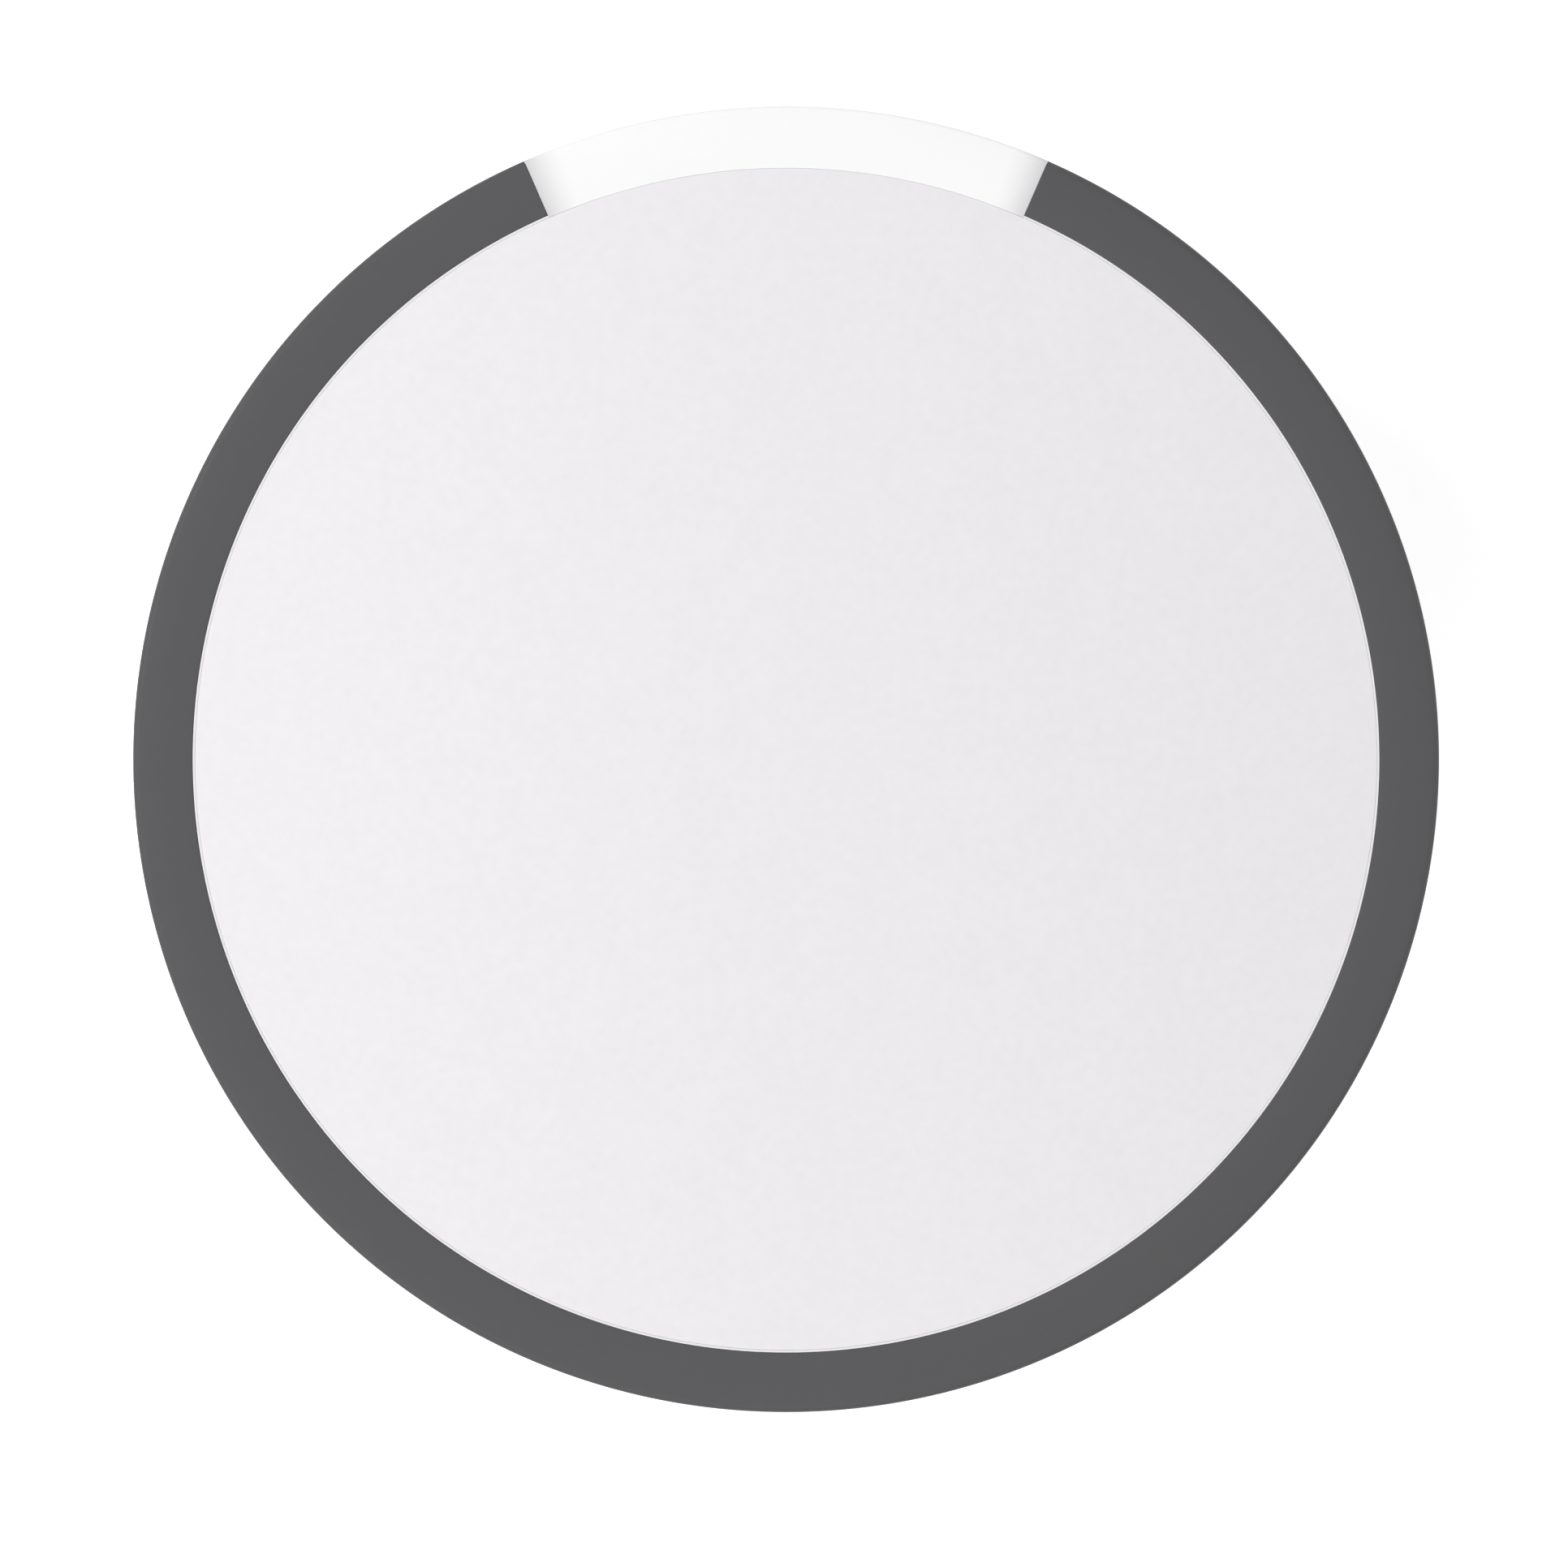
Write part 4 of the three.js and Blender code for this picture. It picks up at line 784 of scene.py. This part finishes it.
def makeHousing():
    start, rimTop, boardBottom = pick(housing, "skirtStart", "rimTop", "boardBottom")
    (floor, top), steps, skirt = pick(housing, "floor", "sideSteps", "skirt")
    lip, lipWall, lipTop = housing["lip"]
    lipStart, lipFoot = housing["lipFoot"]
    wideEdge, innerEdge, rimEdge, lipEdge, topEdge = housing["edges"]
    inner = lambda height: sideRadius(height) - housing["wall"]
    heights = [start + (rimTop - start) * i / steps for i in range(1, steps)]
    shell = revolved("housing_shell", [
        (0, floor), (inner(floor), floor, wideEdge), *[(inner(h), h) for h in housing["bendHeights"]],
        (inner(start), start, innerEdge), (skirt, start, wideEdge), *[(sideRadius(h), h) for h in heights],
        (housing["rim"], rimTop, rimEdge), (lip + lipWall, rimTop), (lip + lipWall, lipTop, lipEdge),
        (lip, lipTop, lipEdge), (lip, lipStart), (inner(lipFoot), lipFoot), (inner(top), top, topEdge),
        (0, top),
    ], segments=300)
    adds, cuts = [], []
    room, bayWall, length = pick(housing, "room", "bayWall", "bayLength")
    thick, wide, tabX = housing["tabSlot"]
    for y in housing["rows"]:
        adds.append(vault("vault", room + bayWall, length + 2 * bayWall, floor + bond, y))
        cuts.append(vault("room", room, length, start - past, y))
        cuts.append(prism("tab", slab(thick, wide, 0, tabX, y), housing["cellHeight"], boardBottom))
    thick, tall, bridgeTop, x, y = housing["bridge"]
    cuts.append(prism("bridge", slab(thick, tall, 0, x, y), start - past, bridgeTop))
    width, height, roof, y = housing["pocket"]
    wall, (outerCorner, corner) = housing["pocketWall"], housing["pocketCorners"]
    outline = slab(width + 2 * wall, height + 2 * wall, outerCorner, 0, y)
    adds.append(prism("pocket", outline, floor, roof + wall))
    cuts.append(prism("pocketRoom", slab(width, height, corner, 0, y), start - past, roof))
    width, height, y = housing["pinSlot"]
    cuts.append(prism("pinSlot", slab(width, height, 0, 0, y), start, boardBottom))
    for x, y in spots(housing, "well"):
        adds.append(rod("well", housing["well"] + housing["wellWall"], floor, housing["wellTop"], x, y))
        cuts.append(rod("wellRoom", housing["well"], start - past, housing["seat"], x, y))
        cuts.append(rod("screwHole", housing["screwHole"], start, boardBottom, x, y))
    for x, y in housing["boardBosses"]:
        adds.append(rod("boss", housing["boss"], floor, housing["bossTop"], x, y))
        cuts.append(rod("bossHole", *housing["bossHole"], boardBottom, x, y, segments=32))
    socket, socketTop, wall = pick(housing, "socket", "socketTop", "socketWall")
    for x, y in spots(housing, "socket"):
        adds.append(rod("socket", socket + wall, floor, socketTop + wall, x, y))
        cuts.append(rod("socketRoom", socket, start - past, socketTop, x, y))
    adds.append(rod("pivot", housing["pivotFoot"], floor, housing["pivotTop"], housing["pivotX"], 0))
    cuts.append(rod("pivotHole", *housing["pivotHole"], boardBottom, housing["pivotX"], 0, segments=32))
    stop, half = housing["stopOuter"], housing["stopHalfAngle"]
    overlap, reach, drop = housing["gusset"]
    for angle in (180 - housing["stopAngle"], 180 + housing["stopAngle"]):
        ring = sector(stop - housing["stopThickness"], stop, angle, half, steps=4)
        rib = sector(stop - overlap, inner(rimTop) + reach, angle, half, steps=4)
        adds.append(prism("stop", ring, floor, housing["gearTop"]))
        adds.append(prism("gusset", rib, floor, rimTop - drop))
    length, width, circle = housing["vent"]
    for side in housing["ventSides"]:
        for turn in housing["ventTurns"]:
            outline = turned(slab(length, width, 0, circle), side + turn)
            cuts.append(prism("vent", outline, *housing["ventHeights"]))
    carved(fused(shell, adds), cuts)
    finished(shell, "shellWhite", "unit", "shell_white", "rear_housing")


makeHousing()
print("housing done")

# Wall plate: disc and rim, screw slots, cable window, snap posts and ribs
plate = dict(
    radius=37, thickness=2, rim=1.6, rimTop=3.4, edges=(0.35, 0.3, 0.4), window=(28, 16, -12), windowCorner=2,
    lip=1.2, lipTop=3, lipCorner=3.2, ribs=(-0.7, 22.7), ribLength=47.6, ribCorner=0.5, postCircle=32.4,
    postAngles=(53.7, 126.3, 212, 328), post=2.4, postTop=8.6, postTip=1.4, postEdge=0.3, postTaper=0.7,
    slit=(9.6, 0.8, 4.6), slot=(3.8, 8), slotX=30, dish=2.2, dishDepth=0.6, endSlack=0.01, pegX=7.62,
    pegY=-27, pegHole=1.2,
)


def makePlate():
    radius, thick, rimTop, lipTop = pick(plate, "radius", "thickness", "rimTop", "lipTop")
    backEdge, rimEdge, innerEdge = plate["edges"]
    rimInner, inside = radius - plate["rim"], thick / 2
    disc = revolved("plate_disc", [
        (0, 0), (radius, 0, backEdge), (radius, rimTop, rimEdge), (rimInner, rimTop, rimEdge),
        (rimInner, thick, innerEdge), (0, thick),
    ], segments=288)
    lip, (width, height, y) = plate["lip"], plate["window"]
    outline = slab(width + 2 * lip, height + 2 * lip, plate["lipCorner"], 0, y, steps=12)
    adds = [prism("lip", outline, inside, lipTop)]
    outline = slab(width, height, plate["windowCorner"], 0, y, steps=12)
    cuts = [prism("window", outline, -past, lipTop + past)]
    for y in plate["ribs"]:
        outline = slab(plate["ribLength"], lip, plate["ribCorner"], 0, y)
        adds.append(prism("rib", outline, inside, lipTop))
    post, postTop, edge = pick(plate, "post", "postTop", "postEdge")
    slitLength, slitWidth, slitFoot = plate["slit"]
    for angle in plate["postAngles"]:
        x, y = polar(plate["postCircle"], angle)
        adds.append(revolved("post", [
            (0, inside), (post, inside), (post, postTop - plate["postTip"], edge),
            (plate["postTaper"] * post, postTop, edge), (0, postTop),
        ], segments=64, put=at(x, y)))
        outline = turned(slab(slitLength, slitWidth), angle, x, y)
        cuts.append(prism("slit", outline, slitFoot, postTop + past))
    slotWidth, slotLength = plate["slot"]
    dish, slack = 2 * plate["dish"], plate["endSlack"]
    for side, turn in ((-1, 90), (1, 0)):
        slot = slab(slotLength, slotWidth, slotWidth / 2 - slack, steps=12)
        wide = slab(slotLength + dish, slotWidth + dish, (slotWidth + dish) / 2 - slack, steps=16)
        slot, wide = [turned(outline, turn, side * plate["slotX"]) for outline in (slot, wide)]
        cuts.append(prism("slot", slot, -past, thick + past))
        cuts.append(prism("dish", wide, thick - plate["dishDepth"], thick + past / 2))
        x, y = side * plate["pegX"], plate["pegY"]
        cuts.append(rod("pegHole", plate["pegHole"], -past, thick + past, x, y, segments=32))
    carved(fused(disc, adds), cuts)
    finished(disc, "shellWhite", "wall_side", "shell_white", "wall_plate")


makePlate()
print("wall plate done")

# Terminal block: wire funnels, screw wells and pin sockets, four of each
block = dict(
    width=22.02, depth=10, corner=0.4, y=-27, base=2.3, pegX=7.62, peg=1, poles=4, pitch=5.08, screwY=-24.6,
    well=2.1, wellFloor=7.6, shaft=1.4, wireHeight=5, wire=1.3, wireDepth=4.5, funnel=1.9, funnelDepth=0.9,
    flare=0.6, pin=1.3, pinY=-29.6, pinFloor=6, groove=(0.35, 0.5),
)


def makeBlock():
    _, _, pegEnd, top = boxOf("terminal_block")
    y, base, depth, pitch, pin, screwY = pick(block, "y", "base", "depth", "pitch", "pin", "screwY")
    wire, wireDepth, wireHeight, funnel = pick(block, "wire", "wireDepth", "wireHeight", "funnel")
    wireFace = y + depth / 2
    body = prism("terminal_body", slab(block["width"], depth, block["corner"], 0, y), base, top)
    adds, cuts = [], []
    for x in (-block["pegX"], block["pegX"]):
        adds.append(rod("peg", block["peg"], pegEnd, base + bond, x, y, segments=32))
    for i in range(block["poles"]):
        x = (i - (block["poles"] - 1) / 2) * pitch
        cuts.append(rod("well", block["well"], block["wellFloor"], top + past, x, screwY, segments=40))
        cuts.append(rod("shaft", block["shaft"], wireHeight, top, x, screwY, segments=24))
        outline = slab(pin, pin, 0, x, block["pinY"])
        cuts.append(prism("pinRoom", outline, block["pinFloor"], top + past))
        put = lambda u, v, along, x=x: place(x + u, wireFace - along, wireHeight + v)
        cuts.append(revolved("wire", [
            (0, -past), (funnel + block["flare"], -past), (funnel, 0), (wire, block["funnelDepth"]),
            (wire, wireDepth), (0, wireDepth),
        ], segments=32, put=put))
    width, grooveDepth = block["groove"]
    for i in range(block["poles"] - 1):
        outline = slab(width, depth + 2 * past, 0, (i - (block["poles"] - 2) / 2) * pitch, y)
        cuts.append(prism("groove", outline, top - grooveDepth, top + past))
    carved(fused(body, adds), cuts)
    finished(body, "terminalGreen", "wall_side", "terminal", "terminal_block")


makeBlock()
print("terminal block done")

# Screws: a pan head with its recess on a rolled thread. Shares are of the head's radius, of its
# rise or of the shank's radius.
screws = dict(
    housing_screw=dict(count=4, body="unit", head=2.3, rise=1.6, shank=1.1, pitch=0.8, recess="cross",
        headAt="back"),
    board_screw=dict(count=3, body="unit", head=2, rise=1.1, shank=0.9, pitch=0.7, recess="cross",
        headAt="front"),
    terminal_screw=dict(count=4, body="wall_side", head=1.8, rise=1.6, shank=1.1, pitch=0.5, recess="slot",
        headAt="front"),
)
screwHead = dict(
    flat=0.72, flatEdge=0.35, shoulder=0.5, shoulderEdge=0.2, rimEdge=0.08, neck=0.3, threadStart=0.15,
    toolPast=0.1,
)
recesses = dict(
    cross=dict(length=1.15, width=0.26, depth=0.62, taper=0.6, angles=(45, 135)),
    slot=dict(length=3, width=0.24, depth=0.5, taper=1, angles=(0,)),
)
thread = dict(root=0.8, tip=0.45, runOut=1.5, crestSlope=3, around=24, perTurn=7)


def threadedRod(name, radius, pitch, low, high, put):
    root, around, tip = radius * thread["root"], thread["around"], thread["tip"]
    rows = max(4, math.ceil((high - low) / pitch * thread["perTurn"]))
    points = [put(0, 0, low)]
    for j in range(rows + 1):
        along = low + (high - low) * j / rows
        ending = tip + (1 - tip) * min(1, (high - along) / (thread["runOut"] * pitch))
        for i in range(around):
            crest = max(0, 1 - abs((along / pitch + i / around) % 1 - 0.5) * thread["crestSlope"])
            size = (root + (radius - root) * crest) * ending
            points.append(put(*polar(size, 360 * i / around), along))
    points.append(put(0, 0, high))
    last = len(points) - 1
    faces = []
    for i in range(around):
        k = (i + 1) % around
        faces += [(0, 1 + i, 1 + k), (last, last - around + i, last - around + k)]
        for j in range(rows):
            row = 1 + j * around
            faces.append((row + i, row + k, row + around + k, row + around + i))
    return closedMesh(name, points, faces)


def makeScrew(node, spec):
    x, y, back, front = boxOf(node)
    if spec["headAt"] == "front":
        put = lambda u, v, along: place(x + u, y + v, front - along)
    else:
        put = lambda u, v, along: place(x + u, y + v, back + along)
    look, recess = screwHead, recesses[spec["recess"]]
    head, rise, shank = pick(spec, "head", "rise", "shank")
    neck = rise + look["neck"]
    screw = revolved(node + "_turned", [
        (0, 0), (look["flat"] * head, 0, look["flatEdge"]),
        (head, look["shoulder"] * rise, look["shoulderEdge"]), (head, rise, look["rimEdge"]), (shank, rise),
        (shank * thread["root"], neck), (0, neck),
    ], segments=48, put=put)
    fused(screw, [threadedRod("thread", shank, spec["pitch"], rise + look["threadStart"], front - back, put)])
    outline, depth = slab(recess["length"] * head, recess["width"] * head), rise * recess["depth"]
    tools = []
    for angle in recess["angles"]:
        tools.append(prism("recess", turned(outline, angle), -look["toolPast"], depth, put, recess["taper"]))
    carved(screw, tools)
    finished(screw, "steel", spec["body"], "steel", node)


for name, spec in screws.items():
    for number in range(1, spec["count"] + 1):
        makeScrew(f"{name}_{number}", spec)
print("screws done")

# Cells: a can in a shrunk sleeve, with the bare cap and base showing at the ends
cell = dict(
    radius=5.25, height=11.05, nub=1.9, nubLength=0.8, nubEdge=0.3, nubFoot=0.35, footEdge=0.05, bare=4.35,
    sunk=0.15, baseEdge=0.1, fold=0.1, foldEdge=0.04, foldRise=0.02, sleeveEdges=(0.4, 0.45),
    baseStep=(0.5, 0.3), bareReach=2,
)


def makeCell(node, way):
    low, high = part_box(node)
    x, y, back, front = boxOf(node)
    half, axis = (high.x - low.x) / 2 / mm, (back + front) / 2
    radius, bare, nub, sunk = pick(cell, "radius", "bare", "nub", "sunk")
    fold, rise, foldEdge = bare + cell["fold"], cell["foldRise"], cell["foldEdge"]
    (baseEnd, baseRim), (lowEdge, highEdge) = cell["baseStep"], cell["sleeveEdges"]
    shoulder = half - cell["nubLength"]
    can = revolved(node + "_can", [
        (0, -half), (bare - baseEnd, -half, cell["baseEdge"]), (bare - baseRim, sunk - half),
        (bare, sunk - half), (fold, rise - half, foldEdge), (radius, rise - half, lowEdge),
        (radius, shoulder, highEdge), (fold, shoulder, foldEdge), (bare, shoulder - sunk),
        (nub + cell["nubFoot"], shoulder - sunk, cell["footEdge"]), (nub, shoulder + cell["fold"]),
        (nub, half, cell["nubEdge"]), (0, half),
    ], segments=96, put=lambda u, v, along: place(x + way * along, y + u, axis + v))
    finished(can, "nickel", "unit", "cell", node)
    wears(can, sleeveFinish(way, x + way * half), finishes["nickel"])
    for face in can.data.polygons:
        across = math.hypot(face.center.z / mm - y, -face.center.y / mm - axis)
        if across < bare + rise and abs(face.center.x / mm - x) > half - cell["bareReach"]:
            face.material_index = 1


makeCell("battery_lower", 1)
makeCell("battery_upper", -1)
print("cells done")

# Coil springs and cell contacts, of round wire with a flat half turn at each end
springs = dict(
    steps=36, sides=10, faceRadius=1.9, faceWire=0.2, faceTurns=3, squashed=0.82, cellRadius=2.6, cellTip=2.0,
    cellWire=0.35, cellTurns=3.5, cellFoot=-0.15, strip=0.4, stripWidth=7.4, stripCorner=0.8, tab=1.6,
    tabChamfer=0.4, dimple=(1.3, 0.15, 0.5), dimpleEdge=0.2,
)


def coiled(name, wire, radii, turns, low, high, put):
    steps, sides = springs["steps"], springs["sides"]
    count = int(turns * steps)
    points = []
    for i in range(count + 1):
        share = min(1, max(0, (i / steps - 0.5) / (turns - 1)))
        radius = radii[0] + (radii[1] - radii[0]) * share
        middle = low + wire + (high - low - 2 * wire) * share
        for k in range(sides):
            out, up = polar(wire, 360 * k / sides)
            points.append(put(*polar(radius + out, 360 * i / steps), middle + up))
    faces = [tuple(range(sides)), tuple(range(count * sides, (count + 1) * sides))]
    for i in range(count):
        for k in range(sides):
            a, b = i * sides + k, i * sides + (k + 1) % sides
            faces.append((a, b, b + sides, a + sides))
    return closedMesh(name, points, faces)


def makeFaceSpring(node, x, y):
    _, _, low, high = boxOf(node)
    radii = (springs["faceRadius"],) * 2
    coil = coiled(node + "_coil", springs["faceWire"], radii, springs["faceTurns"], low, high, at(x, y))
    finished(coil, "springSteel", "unit", "steel", node)
    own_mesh(coil)


def makeContact(node, way, rows, tabY=None, coilY=None):
    # a strip on the bay's end wall; way is 1 at the right end and -1 at the left
    low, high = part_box(node)
    thick, axis, width = springs["strip"], cell["height"], springs["stripWidth"]
    start = (high.x if way > 0 else low.x) / mm - way * thick
    put = lambda u, v, along: place(start - way * along, u, axis + v)
    outline = slab(width + rows[-1] - rows[0], width, springs["stripCorner"], (rows[0] + rows[-1]) / 2)
    strip = prism(node + "_strip", outline, -thick, 0, put)
    adds = []
    if tabY is not None:
        top, half, chamfer = -low.y / mm - axis, springs["tab"] / 2, springs["tabChamfer"]
        tab = [(tabY - half, 0), (tabY + half, 0), (tabY + half, top - chamfer), (tabY + half - chamfer, top),
               (tabY - half + chamfer, top), (tabY - half, top - chamfer)]
        adds.append(prism("tab", tab, -thick, 0, put))
    if coilY is not None:
        radii, tip = (springs["cellRadius"], springs["cellTip"]), abs((high.x - low.x) / mm) - thick
        centred = lambda u, v, along: put(coilY + u, v, along)
        turns, foot = springs["cellTurns"], springs["cellFoot"]
        adds.append(coiled("coil", springs["cellWire"], radii, turns, foot, tip, centred))
    radius, rise, slope = springs["dimple"]
    edge = springs["dimpleEdge"]
    for y in rows:
        if y != coilY:
            centred = lambda u, v, along: put(y + u, v, along)
            corners = [(0, -edge), (radius, -edge), (radius, 0), (radius - slope, rise, edge), (0, rise)]
            adds.append(revolved("dimple", corners, segments=48, put=centred))
    fused(strip, adds)
    finished(strip, "nickel", "unit", "steel", node)


for number, spot in enumerate(spots(cover, "pin"), 1):
    makeFaceSpring(f"face_spring_{number}", *spot)
lowRow, highRow = housing["rows"]
makeContact("contact_plus", 1, (lowRow,), tabY=lowRow)
makeContact("contact_minus", 1, (highRow,), tabY=highRow, coilY=highRow)
makeContact("contact_bridge", -1, (lowRow, highRow), coilY=lowRow)
print("springs and contacts done")

# The remaining nodes keep their shape and get their finish
nodeFinishes = dict(
    innerBlack=("mid_frame", "display_bezel", "switch_body", "encoder_body"),
    acetal=("glide_ring", "switch_plunger", "encoder_pinion"),
    relayBlue=("relay",),
    header=("pin_header",),
    clear=("light_guide",),
    display=("display_module",),
    board=("main_board", "sensor_board"),
    steel=("radio_module",),
)


def finishNodes():
    smoother = makeSmoother()
    for name, members in nodeFinishes.items():
        for member in members:
            wears(nodes[member], finishes[name])
            nodes[member].modifiers.new("smooth", "NODES").node_group = smoother


finishNodes()
print("nodes finished")

# Studio: a white wall and floor that keep the shadow and are seen only from their front
studio = dict(
    back=0.0006, floor=-0.6, reach=1.6, bend=0.3, bendSteps=16, tone=0.8, glow=0.6, floorGlow=0.72, sky=0.4,
)
lamps = dict(
    key=dict(at=(-0.46, -0.62, 0.22), size=0.45, power=3.18),
    low=dict(at=(-0.2, -0.55, -0.5), size=0.6, power=1.9),
    side=dict(at=(0.8, -0.06, 0.1), size=0.6, power=1.5),
    top=dict(at=(0.1, -0.12, 0.85), size=0.6, power=0.85),
    rear=dict(at=(-0.4, 0.62, 0.3), size=0.6, power=4.4),
)


def makeWorld():
    world = bpy.data.worlds.new("studio")
    bpy.context.scene.world = world
    world.use_nodes = True
    tree, white = world.node_tree, (1, 1, 1)
    seen = fill(tree, tree.nodes["Background"], {"Color": white}).outputs[0]
    light = addNode(tree, "ShaderNodeBackground", {"Color": white, "Strength": studio["sky"]})[0]
    path = addNode(tree, "ShaderNodeLightPath")
    direct = mathNode(tree, "MAXIMUM", path["Is Camera Ray"], path["Is Glossy Ray"])
    direct = mathNode(tree, "MAXIMUM", direct, path["Is Transmission Ray"])
    mix = addNode(tree, "ShaderNodeMixShader", {0: direct, 1: light, 2: seen})[0]
    fill(tree, tree.nodes["World Output"], {"Surface": mix})


def wallFinish():
    floor, bend = studio["floor"], studio["bend"]
    material, tree, shader = newMaterial("studioWall")
    fill(tree, shader, {"Base Color": (studio["tone"],) * 3, "Roughness": 1.0, "Specular IOR Level": 0.0})
    strength = ramped(tree, objectPlace(tree)[2], floor, floor + bend, studio["floorGlow"], studio["glow"])
    glow = addNode(tree, "ShaderNodeEmission", {"Strength": strength})[0]
    lit = addNode(tree, "ShaderNodeAddShader", {0: shader.outputs[0], 1: glow})[0]
    clear = addNode(tree, "ShaderNodeBsdfTransparent")[0]
    behind = addNode(tree, "ShaderNodeNewGeometry")["Backfacing"]
    mix = addNode(tree, "ShaderNodeMixShader", {0: behind, 1: lit, 2: clear})[0]
    fill(tree, tree.nodes["Material Output"], {"Surface": mix})
    return material


def makeWall():
    # one sweep: the wall behind, a bend, and the floor running forward
    back, floor, bend, reach = cadBox[1].y + studio["back"], studio["floor"], studio["bend"], studio["reach"]
    line, steps = [(back, reach)], studio["bendSteps"]
    for i in range(steps + 1):
        dy, dz = polar(bend, 90 * i / steps)
        line.append((back - bend + dy, floor + bend - dz))
    line.append((back - reach, floor))
    points = [(side * reach, y, z) for y, z in line for side in (-1, 1)]
    faces = [(2 * i, 2 * i + 1, 2 * i + 3, 2 * i + 2) for i in range(len(line) - 1)]
    mesh = bpy.data.meshes.new("studio_wall")
    mesh.from_pydata(points, [], faces)
    if mesh.polygons[0].normal.y > 0:
        mesh.flip_normals()
    mesh.shade_smooth()
    mesh.materials.append(wallFinish())
    wall = addObject("studio_wall", mesh)
    wall.visible_shadow = False
    wall.visible_diffuse = False


def makeLamps():
    aim = (cadBox[0] + cadBox[1]) / 2
    for name, spec in lamps.items():
        data = bpy.data.lights.new(name, "AREA")
        data.shape = "DISK"
        data.size = spec["size"]
        data.energy = spec["power"]
        lamp = addObject(name, data)
        lamp.location = spec["at"]
        lamp.rotation_euler = (aim - lamp.location).to_track_quat("-Z", "Y").to_euler()


# Camera: straight in front and far off, with the object a little high and right in the frame
lens = dict(distance=1.4, share=0.8332, right=0.0013, up=0.01584, sensor=36, clip=(0.05, 20))


def makeCamera():
    low, high = cadBox
    width, distance = (high.x - low.x) / lens["share"], lens["distance"]
    data = bpy.data.cameras.new("camera")
    data.sensor_width = lens["sensor"]
    data.lens = lens["sensor"] * distance / width
    data.clip_start, data.clip_end = lens["clip"]
    camera = addObject("camera", data)
    x, z = (low.x + high.x) / 2 - lens["right"] * width, (low.z + high.z) / 2 - lens["up"] * width
    camera.location = (x, low.y - distance, z)
    camera.rotation_euler = (math.pi / 2, 0, 0)
    bpy.context.scene.camera = camera


makeWorld()
makeWall()
makeLamps()
makeCamera()
bpy.context.scene.view_settings.view_transform = "Standard"
print("studio done")
